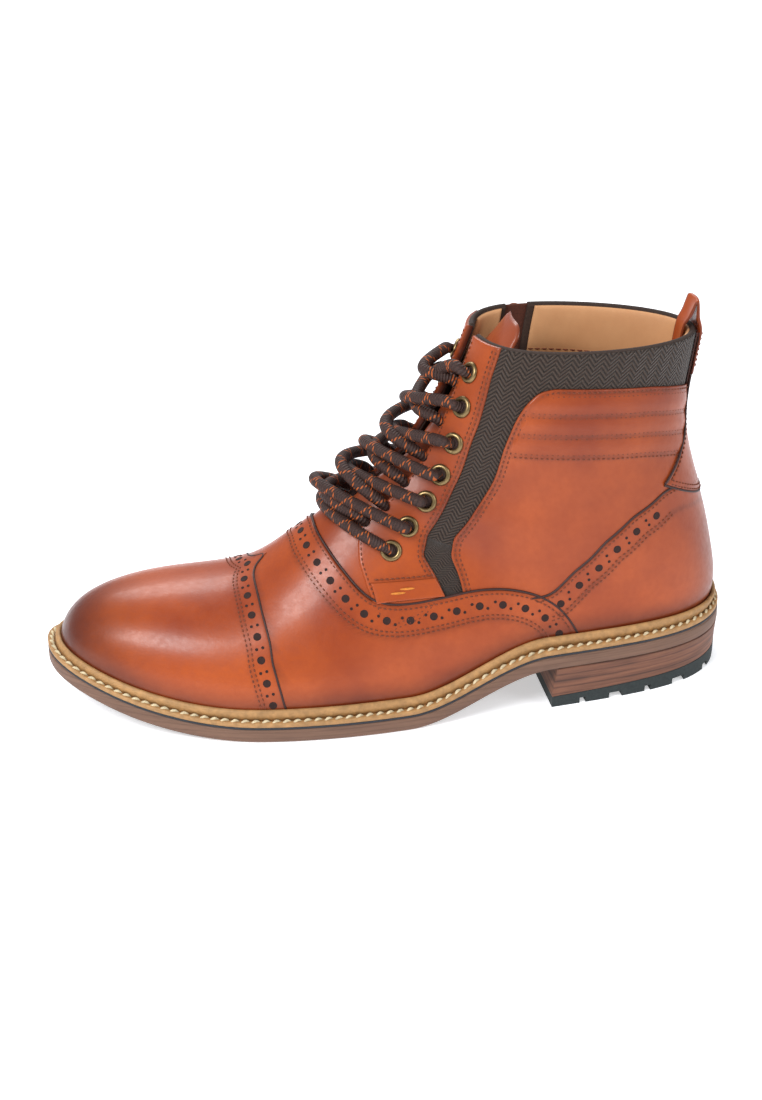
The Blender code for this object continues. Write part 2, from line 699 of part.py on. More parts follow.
def welt_mesh(low_lift):
    """The welt round the upper, with its storm rib: one profile carried round the outline."""
    share = np.linspace(0, 1, SOLE_RUNGS)
    rib_foot = WELT_THICKNESS + RIB_FOOT_RISE
    edges = [[np.column_stack([line, midsole_top(line[:, 0]) + height])
              for line in plan_loops(WELT_MARGIN)] for height in (0.0, WELT_THICKNESS)]
    faces = []
    for height, lift in ((rib_foot, WELT_LEDGE), (RIB_HEIGHT, WELT_LEDGE - RIB_SLOPE),
                         (RIB_HEIGHT, low_lift), (RIB_HEIGHT / 2, low_lift),
                         (0.0, low_lift + 2 * CLEARANCE)):
        sides = []
        for side in (OUTER, INNER):
            station, angle = edge_line(side, height, share)
            point = lifted_skin(station, angle, side, lift)
            point[:, 2] = midsole_top(point[:, 0]) + height
            sides.append(point)
        faces.append(sides)
    profile = [np.concatenate([outer, inner[-2:0:-1]]) for outer, inner in edges + faces]
    points = np.concatenate(profile)
    count = len(profile[0])
    index = np.arange(len(points)).reshape(len(profile), count)
    index = np.concatenate([index, index[:1]])
    index = np.concatenate([index, index[:, :1]], axis=1)
    return mesh_of("welt", points, grid_quads(index))


def notch_cutters(collection):
    """Notches in the edge of the rubber lift, narrow and wide in turn, on both sides."""
    loops = up_to_breast(plan_loops(WELT_MARGIN), HEEL_LENGTH)
    shape = bmesh.new()
    for line in loops:
        for number in range(LUG_COUNT):
            share = NOTCH_START_SHARE + NOTCH_SPAN_SHARE * number / (LUG_COUNT - 1)
            x = HEEL_LENGTH * share
            width = WIDE_NOTCH if number % 2 else NARROW_NOTCH
            edge = float(np.interp(x, line[:, 0], line[:, 1]))
            made = bmesh.ops.create_cube(shape, size=1.0)
            bmesh.ops.scale(shape, vec=(width, 2 * LUG_REACH, 2 * LUG_DEPTH), verts=made["verts"])
            place = Vector((x - SCENE_SHIFT[0], edge, 0))
            bmesh.ops.translate(shape, vec=place, verts=made["verts"])
    mesh = bpy.data.meshes.new("notches")
    shape.to_mesh(mesh)
    shape.free()
    return helper("notches", mesh, collection)


def helper(name, mesh, collection):
    made = add_object(name, mesh, None, collection)
    made.hide_render = True
    made.display_type = "WIRE"
    return made


def cut(target, cutter):
    modifier = target.modifiers.new(cutter.name, "BOOLEAN")
    modifier.operation = "DIFFERENCE"
    modifier.object = cutter


def eyelet_frame(number, side):
    """Where an eyelet sits: its matrix, with Z straight out of the leather."""
    station, around = EYELETS[number]
    point = lifted_skin(station, around * np.pi, side, OVERLAY_GAP + OVERLAY_WALL)
    out = Vector(skin_normal(np.array(station), np.array(around * np.pi), np.array(side)))
    turn = out.to_track_quat("Z", "Y").to_matrix().to_4x4()
    return Matrix.Translation(Vector(point - SCENE_SHIFT)) @ turn


def eyelet_mesh():
    """A turned ring: a barrel through the leather with a rolled flange outside."""
    bore, flange = EYELET_BORE / 2, EYELET_FLANGE / 2
    barrel = bore + EYELET_BARREL_WALL
    depth = UPPER_WALL + OVERLAY_WALL
    rim = EYELET_STAND + EYELET_RIM
    profile = ((bore, -depth), (barrel, -depth), (barrel, EYELET_STAND), (flange, EYELET_STAND),
               (0.8 * flange, rim), (bore, rim - 0.3 * EYELET_RIM))
    turns = np.arange(EYELET_SIDES) * 2 * np.pi / EYELET_SIDES
    radius, height = np.array(profile).T
    points = np.stack([np.outer(radius, np.cos(turns)), np.outer(radius, np.sin(turns)),
                       np.outer(height, np.ones(EYELET_SIDES))], axis=-1)
    index = np.arange(points[..., 0].size).reshape(points.shape[:2])
    index = np.concatenate([index, index[:1]])
    index = np.concatenate([index, index[:, :1]], axis=1)
    return mesh_of("eyelet", points.reshape(-1, 3) + SCENE_SHIFT, grid_quads(index))


def hole_cutter(side, collection):
    shape = bmesh.new()
    radius = EYELET_BORE / 2 + EYELET_BARREL_WALL + CLEARANCE
    radius = radius / math.cos(math.pi / EYELET_SIDES)
    for number in range(len(EYELETS)):
        bmesh.ops.create_cone(shape, cap_ends=True, segments=EYELET_SIDES, radius1=radius,
                              radius2=radius, depth=6 * UPPER_WALL,
                              matrix=eyelet_frame(number, side))
    name = "eyelet_holes_outer" if side == OUTER else "eyelet_holes_inner"
    mesh = bpy.data.meshes.new(name)
    shape.to_mesh(mesh)
    shape.free()
    return helper(name, mesh, collection)


def pull_loop_mesh():
    """A strip folded over the collar at the back seam."""
    low = OVERLAY_GAP + OVERLAY_WALL + OVERLAY_GAP
    high = low + OVERLAY_WALL
    deep = -UPPER_WALL - LOOP_SETBACK
    deeper = deep - OVERLAY_WALL
    path = ((1.3, low, 1.3, high), (0.6, low, 0.6, high), (0.0, low, 0.0, high),
            (-0.45, low, -0.50, high), (-0.62, 0.4 * low, -0.76, 0.5 * high),
            (-0.66, 0.4 * deep, LOOP_CREST - 0.05, 0.4 * deep),
            (-0.60, 0.8 * deep, -0.74, deeper),
            (-0.40, deep, -0.45, deeper), (0.0, deep, 0.0, deeper), (0.8, deep, 0.8, deeper))
    rows = np.array(path)
    spread = np.linspace(-LOOP_SPREAD, LOOP_SPREAD, 5)[None, :]
    turn = np.where(spread > 0, np.pi - spread, -(np.pi + spread))
    turn = np.repeat(turn, len(rows), axis=0)
    wide = np.ones_like(turn)
    outside = signed_skin(rows[:, 2:3] * wide, turn, rows[:, 3:4] * wide)
    inside = signed_skin(rows[:, 0:1] * wide, turn, rows[:, 1:2] * wide)
    index = np.arange(turn.size).reshape(turn.shape)
    points, faces = closed_wall(outside.reshape(-1, 3), inside.reshape(-1, 3), grid_quads(index))
    return mesh_of("pull_loop", points, faces)


def tongue_mesh():
    """The tongue inside the throat. Its top leans back from the collar."""
    rows = np.linspace(0, 1, 12)
    station, edge = along_table(TONGUE_EDGE, rows)
    share = np.linspace(-1, 1, 7)[None, :]
    turn = edge[:, None] * share
    lean = TONGUE_LEAN * (1 - smoothstep((station + 0.7) / 2.4))[:, None] * np.ones_like(turn)
    top = -(UPPER_WALL + TONGUE_GAP) - lean
    rings = np.repeat(station[:, None], 7, axis=1)
    outside = signed_skin(rings, turn, top)
    inside = signed_skin(rings, turn, top - TONGUE_THICKNESS)
    index = np.arange(turn.size).reshape(turn.shape)
    points, faces = closed_wall(outside.reshape(-1, 3), inside.reshape(-1, 3), grid_quads(index))
    return mesh_of("tongue", points, faces)


def smooth_path(anchors, samples):
    """A smooth curve through hand-set points, sampled evenly in their own spacing."""
    anchors = np.array(anchors, float)
    curves = [natural_spline(anchors[:, axis]) for axis in range(3)]
    row = np.linspace(0, len(anchors) - 1, samples)
    return np.stack([curve(row) for curve in curves], axis=1)


def tube_mesh(name, path, collection):
    """A round cord along a path, as a bevelled curve made into a mesh."""
    data = bpy.data.curves.new(name, "CURVE")
    data.dimensions = "3D"
    data.bevel_depth = LACE_DIAMETER / 2
    data.bevel_resolution = 2
    data.use_fill_caps = True
    line = data.splines.new("POLY")
    line.points.add(len(path) - 1)
    line.points.foreach_set("co", np.column_stack([path - SCENE_SHIFT,
                                                   np.ones(len(path))]).ravel())
    made = bpy.data.objects.new(name, data)
    collection.objects.link(made)
    bpy.context.view_layer.update()
    graph = bpy.context.evaluated_depsgraph_get()
    mesh = bpy.data.meshes.new_from_object(made.evaluated_get(graph))
    bpy.data.objects.remove(made, do_unlink=True)
    shape = bmesh.new()
    shape.from_mesh(mesh)
    bmesh.ops.remove_doubles(shape, verts=shape.verts, dist=1e-5)
    bmesh.ops.recalc_face_normals(shape, faces=shape.faces)
    shape.to_mesh(mesh)
    shape.free()
    return mesh


def throat_point(station, side, lift, inset):
    """A point beside the edge of the throat, inset towards the ridge."""
    angle = angle_at(THROAT_EDGE, station)
    angle = angle - angle_for_width(np.array(station), angle, np.array(side), inset)
    return lifted_skin(station, max(float(angle), 0.0), side, lift)


def lace_strand(number, side):
    """One strand: from under the facing up over the middle to the next eyelet across."""
    station, _ = EYELETS[number]
    inset = LACE_INSET * LACE_DIAMETER
    start = throat_point(station - LACE_SETBACK, side, OVERLAY_GAP, inset)
    rise = throat_point(station - LACE_SETBACK - 0.08, side, LACE_DIAMETER, inset)
    across, around = EYELETS[number - 1]
    middle = lifted_skin((station + across) / 2 + 0.1, 0.0, OUTER, LACE_ARCH)
    top = OVERLAY_GAP + OVERLAY_WALL + EYELET_STAND + EYELET_RIM
    end_low = lifted_skin(across, around * np.pi, -side, top + LACE_DIAMETER / 2 + LACE_REST)
    back = angle_for_width(np.array(across), around * np.pi, np.array(-side), LACE_APPROACH)
    over = lifted_skin(across + 0.06, around * np.pi - float(back), -side,
                       top + 0.62 * LACE_DIAMETER + LACE_HUMP)
    return smooth_path((start, rise, middle, over, end_low), 7)


def lace_cross(name, number, finish, shoe, helpers):
    """The two strands between one pair of eyelets and the next, joined where they cross."""
    first = add_object(name, tube_mesh(name, lace_strand(number, OUTER), shoe), finish, shoe)
    second = helper(name + "_partner", tube_mesh(name, lace_strand(number, INNER), shoe), helpers)
    modifier = first.modifiers.new("crossing", "BOOLEAN")
    modifier.operation = "UNION"
    modifier.object = second


def lace_bar_mesh(shoe):
    """The straight bar at the lowest pair of eyelets."""
    station, around = EYELETS[-1]
    top = OVERLAY_GAP + OVERLAY_WALL + EYELET_STAND + EYELET_RIM
    ends = [lifted_skin(station, around * np.pi, side, top + LACE_DIAMETER / 2 + LACE_REST)
            for side in (OUTER, INNER)]
    near = [lifted_skin(station, around * np.pi * 0.62, side, top + LACE_DIAMETER * 0.72)
            for side in (OUTER, INNER)]
    middle = lifted_skin(station, 0.0, OUTER, LACE_BAR_HEIGHT)
    return tube_mesh("lace_bar", smooth_path((ends[0], near[0], middle, near[1], ends[1]), 9),
                     shoe)


def slider_frame():
    """The zip slider's place: X across the zip, Y up along it, Z out of the leather."""
    station = SLIDER_STATION
    angle = float(angle_at(ZIP_LINE, station))
    centre = lifted_skin(station, angle, INNER, 0.0)
    higher = lifted_skin(station - 0.3, float(angle_at(ZIP_LINE, station - 0.3)), INNER, 0.0)
    out = Vector(skin_normal(np.array(station), np.array(angle), np.array(INNER)))
    up = Vector(higher - centre)
    up = (up - up.dot(out) * out).normalized()
    turn = Matrix((up.cross(out), up, out)).transposed().to_4x4()
    return Matrix.Translation(Vector(centre - SCENE_SHIFT)) @ turn


def box_into(shape, size, centre):
    made = bmesh.ops.create_cube(shape, size=1.0)
    bmesh.ops.scale(shape, vec=size, verts=made["verts"])
    bmesh.ops.translate(shape, vec=centre, verts=made["verts"])


def box_mesh(name, size, centre):
    shape = bmesh.new()
    box_into(shape, size, centre)
    mesh = bpy.data.meshes.new(name)
    shape.to_mesh(mesh)
    shape.free()
    return mesh


def joined_boxes(name, boxes, finish, shoe, helpers, frame, origin=(0, 0, 0)):
    """Boxes in the slider's own axes, joined into one solid with its origin given there."""
    shift = -Vector(origin)
    place = frame @ Matrix.Translation(Vector(origin))
    made = add_object(name, box_mesh(name, *boxes[0]), finish, shoe)
    made.data.transform(Matrix.Translation(shift))
    made.matrix_world = place
    for number, box in enumerate(boxes[1:]):
        other = helper(f"{name}_part_{number}", box_mesh(name, *box), helpers)
        other.data.transform(Matrix.Translation(shift))
        other.matrix_world = place
        modifier = made.modifiers.new(other.name, "BOOLEAN")
        modifier.operation = "UNION"
        modifier.object = other
    return made


def slider_heights():
    """Heights over the leather: the slider's underside, its top, and the pull's pin."""
    under = TEETH_THICKNESS - TEETH_SINK + CLEARANCE
    top = under + SLIDER_THICKNESS
    pin = top + (BAIL_HEIGHT - BAIL_BAR) / 2
    return under, top, pin


def slider_boxes():
    """The slider's body, then the two posts and the bar of its bail."""
    under, top, _ = slider_heights()
    post = (BAIL_WIDTH, BAIL_BAR, BAIL_HEIGHT + JOIN_SINK)
    post_y = BAIL_REACH + BAIL_BAR / 2
    post_z = top + (BAIL_HEIGHT - JOIN_SINK) / 2
    return (
        ((SLIDER_WIDTH, SLIDER_LENGTH, SLIDER_THICKNESS), (0, 0, (under + top) / 2)),
        (post, (0, post_y, post_z)),
        (post, (0, -post_y, post_z)),
        ((BAIL_WIDTH, 2 * (BAIL_REACH + BAIL_BAR), BAIL_BAR),
         (0, 0, top + BAIL_HEIGHT - BAIL_BAR / 2)),
    )


def pull_boxes():
    """The pull's tab, its pin, and the two arms between them."""
    _, _, pin = slider_heights()
    inside = BAIL_WIDTH + PULL_ROOM
    middle = (PULL_START + PULL_LENGTH) / 2
    arm = (PULL_ARM, PULL_START + JOIN_SINK, PULL_THICKNESS)
    arm_x = (inside + PULL_ARM) / 2
    arm_y = -PULL_START / 2 - JOIN_SINK / 10
    return (
        ((PULL_WIDTH, PULL_LENGTH - PULL_START, PULL_THICKNESS), (0, -middle, pin)),
        ((inside + 2 * PULL_ARM, PULL_PIN, PULL_PIN), (0, 0, pin)),
        (arm, (arm_x, arm_y, pin)),
        (arm, (-arm_x, arm_y, pin)),
    )


def sole_parts(shoe, helpers, finishes):
    """Insole, welt, midsole, outsole, stacked heel and rubber lift."""
    full = plan_loops(WELT_MARGIN)
    thin = plan_loops(WELT_MARGIN - MIDSOLE_INSET)
    inside = plan_loops(-UPPER_WALL - 2 * CLEARANCE)
    gap = CLEARANCE
    add_object("insole", slab_mesh("insole", inside, inside, lambda x: midsole_top(x) + gap,
                                   lambda x: midsole_top(x) + gap + INSOLE_THICKNESS),
               finishes["lining"], shoe)
    add_object("welt", welt_mesh(OVERLAY_GAP + OVERLAY_WALL + 2 * CLEARANCE),
               finishes["welt"], shoe)
    add_object("midsole", slab_mesh("midsole", thin, thin,
                                    lambda x: sole_lift(x) + OUTSOLE_THICKNESS,
                                    lambda x: midsole_top(x) - gap), finishes["line"], shoe)
    add_object("outsole", slab_mesh("outsole", full, full, sole_lift,
                                    lambda x: sole_lift(x) + OUTSOLE_THICKNESS - gap),
               finishes["slab"], shoe)
    low_loops = up_to_breast(plan_loops(WELT_MARGIN - HEEL_TAPER), HEEL_LENGTH)
    high_loops = up_to_breast(full, HEEL_LENGTH + BREAST_SLANT)

    def lift_top(x):
        return LIFT_HEIGHT + LIFT_WEDGE * (0.5 - x / HEEL_LENGTH)

    add_object("heel_stack", slab_mesh("heel_stack", low_loops, high_loops,
                                       lambda x: lift_top(x) + gap,
                                       lambda x: sole_lift(x) - gap), finishes["stack"], shoe)
    lift = add_object("heel_lift", slab_mesh("heel_lift", low_loops, low_loops,
                                             lambda x: 0 * x, lift_top), finishes["rubber"], shoe)
    cut(lift, notch_cutters(helpers))


def main():
    clear_scene()
    shoe = new_collection("lace_up_ankle_boot")
    helpers = new_collection("cutters")
    finishes = {
        "leather": material("cognac_leather", (0.42, 0.11, 0.03), 0.3),
        "tweed": material("herringbone_tweed", (0.05, 0.04, 0.035), 0.9),
        "lining": material("tan_lining", (0.60, 0.30, 0.10), 0.6),
        "welt": material("tan_welt", (0.48, 0.27, 0.13), 0.5),
        "line": material("dark_midsole", (0.06, 0.06, 0.07), 0.6),
        "slab": material("brown_sole", (0.20, 0.11, 0.07), 0.6),
        "stack": material("stacked_heel", (0.16, 0.08, 0.05), 0.5),
        "rubber": material("dark_rubber", (0.05, 0.07, 0.06), 0.7),
        "brass": material("antique_brass", (0.35, 0.27, 0.15), 0.35, 1.0),
        "steel": material("dark_nickel", (0.35, 0.35, 0.36), 0.3, 1.0),
        "teeth": material("brown_zip", (0.30, 0.10, 0.05), 0.5),
        "lace": material("brown_lace", (0.08, 0.03, 0.02), 0.85),
    }
    low, high = OVERLAY_GAP, OVERLAY_GAP + OVERLAY_WALL
    upper = add_object("upper", upper_mesh(), finishes["leather"], shoe)
    leather = finishes["leather"]
    add_object("toe_cap", toe_cap_mesh(low, high), leather, shoe)
    vamp = add_object("vamp", vamp_mesh(low, high), leather, shoe)
    add_object("counter", counter_mesh(low, high), leather, shoe)
    add_object("backstay", backstay_mesh(low, high), leather, shoe)
    long_rows = np.linspace(0, 1, 11)
    facing = (EYESTAY_FRONT, EYESTAY_REAR)
    strip = (STRIP_FRONT, STRIP_REAR)
    slot_rows = np.linspace(ZIP_FOOT_STATION - 1.7, ZIP_FOOT_STATION, 4)
    cut(vamp, helper("zip_slot", zip_strip("zip_slot", slot_rows, ZIP_SLOT_WIDTH, 3,
                                           -ZIP_CUT_REACH, ZIP_CUT_REACH), helpers))
    for side, word in ((OUTER, "outer"), (INNER, "inner")):
        eyestay = add_object(f"eyestay_{word}", strip_mesh("eyestay", side, facing, long_rows, 4,
                                                           low, high), leather, shoe)
        holes = hole_cutter(side, helpers)
        cut(upper, holes)
        cut(eyestay, holes)
    tweed = finishes["tweed"]
    add_object("cuff_outer", strip_mesh("cuff", OUTER, strip, np.linspace(0, 1, 21), 3, low, high),
               tweed, shoe)
    add_object("cuff_strip_inner", strip_mesh("cuff", INNER, strip, np.linspace(0, 0.50, 12), 3,
                                              low, high), tweed, shoe)
    add_object("cuff_band_inner", strip_mesh("cuff", INNER, strip, np.linspace(0.66, 1, 9), 3,
                                             low, high), tweed, shoe)
    add_object("pull_loop", pull_loop_mesh(), leather, shoe)
    add_object("tongue", tongue_mesh(), leather, shoe)
    sole_parts(shoe, helpers, finishes)
    tape_width = ZIP_SLOT_WIDTH - 2 * CLEARANCE
    tape_top = -TEETH_SINK - CLEARANCE
    add_object("zip_tape", zip_strip("zip_tape", zip_rows(ZIP_FOOT_STATION - 0.03), tape_width, 2,
                                     tape_top - ZIP_TAPE_THICKNESS, tape_top), tweed, shoe)
    add_object("zip_teeth", zip_strip("zip_teeth", zip_rows(ZIP_FOOT_STATION - 0.1), TEETH_WIDTH,
                                      2, -TEETH_SINK, TEETH_THICKNESS - TEETH_SINK),
               finishes["teeth"], shoe)
    frame = slider_frame()
    joined_boxes("zip_slider", slider_boxes(), finishes["steel"], shoe, helpers, frame)
    joined_boxes("zip_pull", pull_boxes(), finishes["brass"], shoe, helpers, frame,
                 (0, 0, slider_heights()[2]))
    ring = eyelet_mesh()
    for side, word in ((OUTER, "outer"), (INNER, "inner")):
        for number in range(len(EYELETS)):
            made = add_object(f"eyelet_{word}_{number + 1}", ring, None, shoe)
            made.matrix_world = eyelet_frame(number, side)
    ring.materials.append(finishes["brass"])
    for number in range(1, len(EYELETS)):
        lace_cross(f"lace_cross_{number}", number, finishes["lace"], shoe, helpers)
    add_object("lace_bar", lace_bar_mesh(shoe), finishes["lace"], shoe)


if __name__ == "__main__":
    main()
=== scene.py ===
# %% [markdown]
# # A cap-toe lace-up boot, dressed around its CAD frame
# The solids in the frame fix every size. This notebook adds what the eye reads on the real
# boot: leather with rolled edges, rows of stitches, punched holes, cloth, laces and a zip.
# Everything is worked out on one surface, the skin of the last, which is a function of two
# numbers: a station from the collar to the toe, and an angle round each ring. Building on a
# function keeps every piece lying on the boot, which pushing vertices by hand would not.
# Lengths in tables are in millimetres where they are multiplied by MM.

import math

import bpy
import numpy as np
from mathutils import Matrix, Vector


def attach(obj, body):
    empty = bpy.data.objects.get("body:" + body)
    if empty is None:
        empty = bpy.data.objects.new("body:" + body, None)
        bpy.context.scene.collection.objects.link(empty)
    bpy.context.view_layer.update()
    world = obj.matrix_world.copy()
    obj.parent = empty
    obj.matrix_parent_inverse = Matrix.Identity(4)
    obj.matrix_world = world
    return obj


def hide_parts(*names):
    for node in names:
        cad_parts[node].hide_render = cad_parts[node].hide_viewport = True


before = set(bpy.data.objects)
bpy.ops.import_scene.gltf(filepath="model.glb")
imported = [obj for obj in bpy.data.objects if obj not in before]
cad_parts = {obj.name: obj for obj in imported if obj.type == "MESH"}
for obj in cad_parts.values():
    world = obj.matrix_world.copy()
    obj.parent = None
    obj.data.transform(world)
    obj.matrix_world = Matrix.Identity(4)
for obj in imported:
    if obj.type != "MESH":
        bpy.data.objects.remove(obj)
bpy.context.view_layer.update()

# %% [markdown]
# ## The last
# A shoemaker pulls leather over a wooden last. Here the last is a table of rings, each with a
# front point, a back point and a half width on each side. A natural cubic spline runs through
# every column of the table. Lofting in Blender from bezier rings would give the same form, but
# a function can also be asked for a normal, a width or an offset at any point, which is what
# the seams need. The tables hold shares of the few sizes at the top, as in the part's source.

# %% Sizes of the boot
MM = 0.001
LAST_LENGTH = 286 * MM
BALL_WIDTH = 94 * MM
SHAFT_WIDTH = 70 * MM
SHAFT_HEIGHT = 125 * MM
INSTEP_HEIGHT = 74 * MM
TOE_ROUNDING = 2.2
TOE_START_SHARE = 0.76
HEEL_BLOCK_HEIGHT = 18.5 * MM
HEEL_LENGTH = 83 * MM
TOE_SPRING = 15 * MM
OUTSOLE_THICKNESS = 6.2 * MM
MIDSOLE_THICKNESS = 1.0 * MM
SHANK_START_SHARE, FLAT_START_SHARE, FLAT_END_SHARE = 0.30, 0.515, 0.74
OUTER, INNER = 1, -1
FRAME_SHIFT = np.array([0.5 * HEEL_LENGTH, 0.0, 0.0])
COLUMNS = ("front_x", "front_up", "back_x", "back_up", "centre", "outer", "inner",
           "widest", "fullness")
SHAFT_SECTIONS = (
    (0.385, 1.095, 0.056, 1.000, -0.05, 0.87, 0.89, 0.38, 0.02),
    (0.402, 1.015, 0.065, 0.888, -0.03, 0.90, 0.90, 0.40, 0.02),
    (0.427, 0.935, 0.074, 0.760, 0.00, 0.91, 0.91, 0.44, 0.02),
    (0.455, 0.865, 0.070, 0.624, 0.00, 0.92, 0.92, 0.48, 0.02),
    (0.483, 0.805, 0.055, 0.488, 0.00, 0.93, 0.93, 0.53, 0.02),
    (0.510, 0.755, 0.038, 0.352, 0.00, 0.95, 0.94, 0.56, 0.02),
    (0.538, 0.710, 0.025, 0.208, 0.00, 0.98, 0.96, 0.59, 0.03),
    (0.566, 0.665, 0.022, 0.048, 0.00, 0.98, 0.95, 0.61, 0.03),
)
FOOT_SECTIONS = (
    (0.594, 1.030, 0.070, -0.16, 0.00, 0.76, 0.72, 0.62, 0.04),
    (0.626, 0.925, 0.182, -0.24, 0.00, 0.81, 0.71, 0.63, 0.05),
    (0.661, 0.820, 0.315, -0.28, -0.02, 0.89, 0.73, 0.64, 0.05),
    (0.699, 0.710, 0.448, -0.27, -0.05, 0.98, 0.80, 0.66, 0.05),
    (0.741, 0.630, 0.577, -0.25, -0.09, 1.03, 0.88, 0.67, 0.05),
    (0.787, 0.590, 0.699, -0.24, -0.13, 1.01, 0.92, 0.68, 0.05),
    (0.839, 0.565, 0.800, -0.20, -0.16, 0.93, 0.91, 0.68, 0.05),
    (0.895, 0.535, 0.885, -0.17, -0.19, 0.84, 0.86, 0.68, 0.05),
    (0.948, 0.510, 0.945, -0.15, -0.21, 0.77, 0.79, 0.68, 0.05),
    (1.000, 0.490, 1.000, -0.14, -0.23, 0.72, 0.74, 0.68, 0.05),
)
LAST_STATION = len(SHAFT_SECTIONS) + len(FOOT_SECTIONS) - 1


# %% [markdown]
# The curves that the tables need come next: a spline through evenly spaced rows, and the
# sole's underside, which rises at the heel and at the toe.

# %% Curves of the sole and the table
def natural_spline(values):
    """A natural cubic through evenly spaced values, as a function of the row number."""
    values = np.asarray(values, float)
    count = len(values)
    bends = np.zeros(count)
    matrix = 4 * np.eye(count - 2) + np.eye(count - 2, k=1) + np.eye(count - 2, k=-1)
    bends[1:-1] = np.linalg.solve(matrix, 6 * np.diff(values, 2))

    def at(row):
        row = np.asarray(row, float)
        low = np.clip(np.floor(row).astype(int), 0, count - 2)
        b = row - low
        a = 1 - b
        bend = (a ** 3 - a) * bends[low] + (b ** 3 - b) * bends[low + 1]
        return a * values[low] + b * values[low + 1] + bend / 6

    return at


def smoothstep(share):
    """Rises from 0 to 1 with a level start and end."""
    share = np.clip(share, 0, 1)
    return share * share * (3 - 2 * share)


def sole_lift(x):
    """The sole's underside: up at the heel, flat under the ball, curving up at the toe."""
    share = np.asarray(x, float) / LAST_LENGTH
    heel = 1 - smoothstep((share - SHANK_START_SHARE) / (FLAT_START_SHARE - SHANK_START_SHARE))
    toe = np.clip((share - FLAT_END_SHARE) / (1 - FLAT_END_SHARE), 0, None) ** 2
    return HEEL_BLOCK_HEIGHT * heel + TOE_SPRING * toe


def midsole_top(x):
    return sole_lift(x) + OUTSOLE_THICKNESS + MIDSOLE_THICKNESS


def section_columns():
    """The two tables in metres, each column a smooth curve over the stations."""
    rows = []
    for table, height, half_width in ((SHAFT_SECTIONS, SHAFT_HEIGHT, SHAFT_WIDTH / 2),
                                      (FOOT_SECTIONS, INSTEP_HEIGHT, BALL_WIDTH / 2)):
        for row in table:
            cell = dict(zip(COLUMNS, row))
            front_x = cell["front_x"] * LAST_LENGTH
            back_x = cell["back_x"] * LAST_LENGTH
            rows.append({
                "front_x": front_x,
                "front_z": midsole_top(front_x) + cell["front_up"] * height,
                "back_x": back_x,
                "back_z": midsole_top(back_x) + cell["back_up"] * height,
                "centre": cell["centre"] * half_width,
                "outer": cell["outer"] * half_width,
                "inner": cell["inner"] * half_width,
                "widest": cell["widest"],
                "fullness": cell["fullness"],
            })
    return {name: natural_spline([row[name] for row in rows]) for name in rows[0]}


SECTION = section_columns()
print("stations:", LAST_STATION + 1)

# %% [markdown]
# ## The skin
# One function turns a station and an angle into a point. Its normal comes from two small steps,
# and halving finds where a ring meets the sole. The same could be read off a lofted mesh with a
# Shrinkwrap, but only at its vertices.

# %% The skin of the last
SINK_AT_TIP = 1.0 * MM
SMALL = 1e-4
BACK_SEAM = (5.0, 9.0)
TOE_TIP = (LAST_STATION - 1.0, LAST_STATION - 1e-3)


def skin(station, angle, side):
    """A point of a ring: sine across, cosine along from its front to its back point.

    Near the toe every ring shrinks as a superellipse, 1 = along^p + across^p."""
    station, angle = np.broadcast_arrays(np.asarray(station, float), np.asarray(angle, float))
    value = {name: curve(station) for name, curve in SECTION.items()}
    share = np.clip((value["front_x"] / LAST_LENGTH - TOE_START_SHARE) / (1 - TOE_START_SHARE),
                    0, 1)
    closing = (1 - share ** TOE_ROUNDING) ** (1 / TOE_ROUNDING)
    tip_z = midsole_top(LAST_LENGTH) - SINK_AT_TIP
    front_z = np.where(closing < 1, tip_z + (value["front_z"] - tip_z) * closing, value["front_z"])
    back_z = np.where(closing < 1, tip_z + (value["back_z"] - tip_z) * closing, value["back_z"])
    along = (1 - np.cos(angle)) / 2
    along = along + 4 * (value["widest"] - 0.5) * along * (1 - along)
    fullness = value["fullness"]
    across = (np.sin(angle) + fullness * np.sin(3 * angle)) / (1 - fullness)
    half_width = np.where(np.asarray(side) > 0, value["outer"], value["inner"]) * closing
    return np.stack([
        value["front_x"] + (value["back_x"] - value["front_x"]) * along,
        value["centre"] + side * half_width * across,
        front_z + (back_z - front_z) * along,
    ], axis=-1)


def unit(vectors):
    return vectors / np.maximum(np.linalg.norm(vectors, axis=-1, keepdims=True), 1e-12)


def split_turn(turn):
    """The side and angle of a signed turn. Past half a turn it comes up the other side."""
    turn = (np.asarray(turn, float) + np.pi) % (2 * np.pi) - np.pi
    return np.where(turn >= 0, OUTER, INNER), np.abs(turn)


def skin_normal(station, turn):
    """Straight out of the skin: the cross product of its two directions."""
    station = np.clip(station, SMALL, LAST_STATION - SMALL)
    side, angle = split_turn(turn)
    down = skin(station + SMALL, angle, side) - skin(station - SMALL, angle, side)
    around = skin(station, angle + SMALL, side) - skin(station, angle - SMALL, side)
    return unit(np.cross(down, around) * side[..., None])


def on_skin(station, turn, lift=0.0):
    """A point over the skin, in the frame's metres. turn is above zero on the outer side."""
    station, turn = np.broadcast_arrays(np.asarray(station, float), np.asarray(turn, float))
    side, angle = split_turn(turn)
    point = skin(station, angle, side) - FRAME_SHIFT
    return point + np.asarray(lift)[..., None] * skin_normal(station, turn)


def lengths_along(points):
    """How far along a line of points each of them lies."""
    return np.concatenate([[0], np.cumsum(np.linalg.norm(np.diff(points, axis=0), axis=1))])


def length_of(points):
    return float(np.linalg.norm(np.diff(points, axis=0), axis=1).sum())


def falling_root(function, low, high, steps=36):
    """Where a falling function crosses zero, by halving."""
    low, high = np.array(low, float), np.array(high, float)
    for _ in range(steps):
        middle = (low + high) / 2
        above = function(middle) > 0
        low, high = np.where(above, middle, low), np.where(above, high, middle)
    return (low + high) / 2


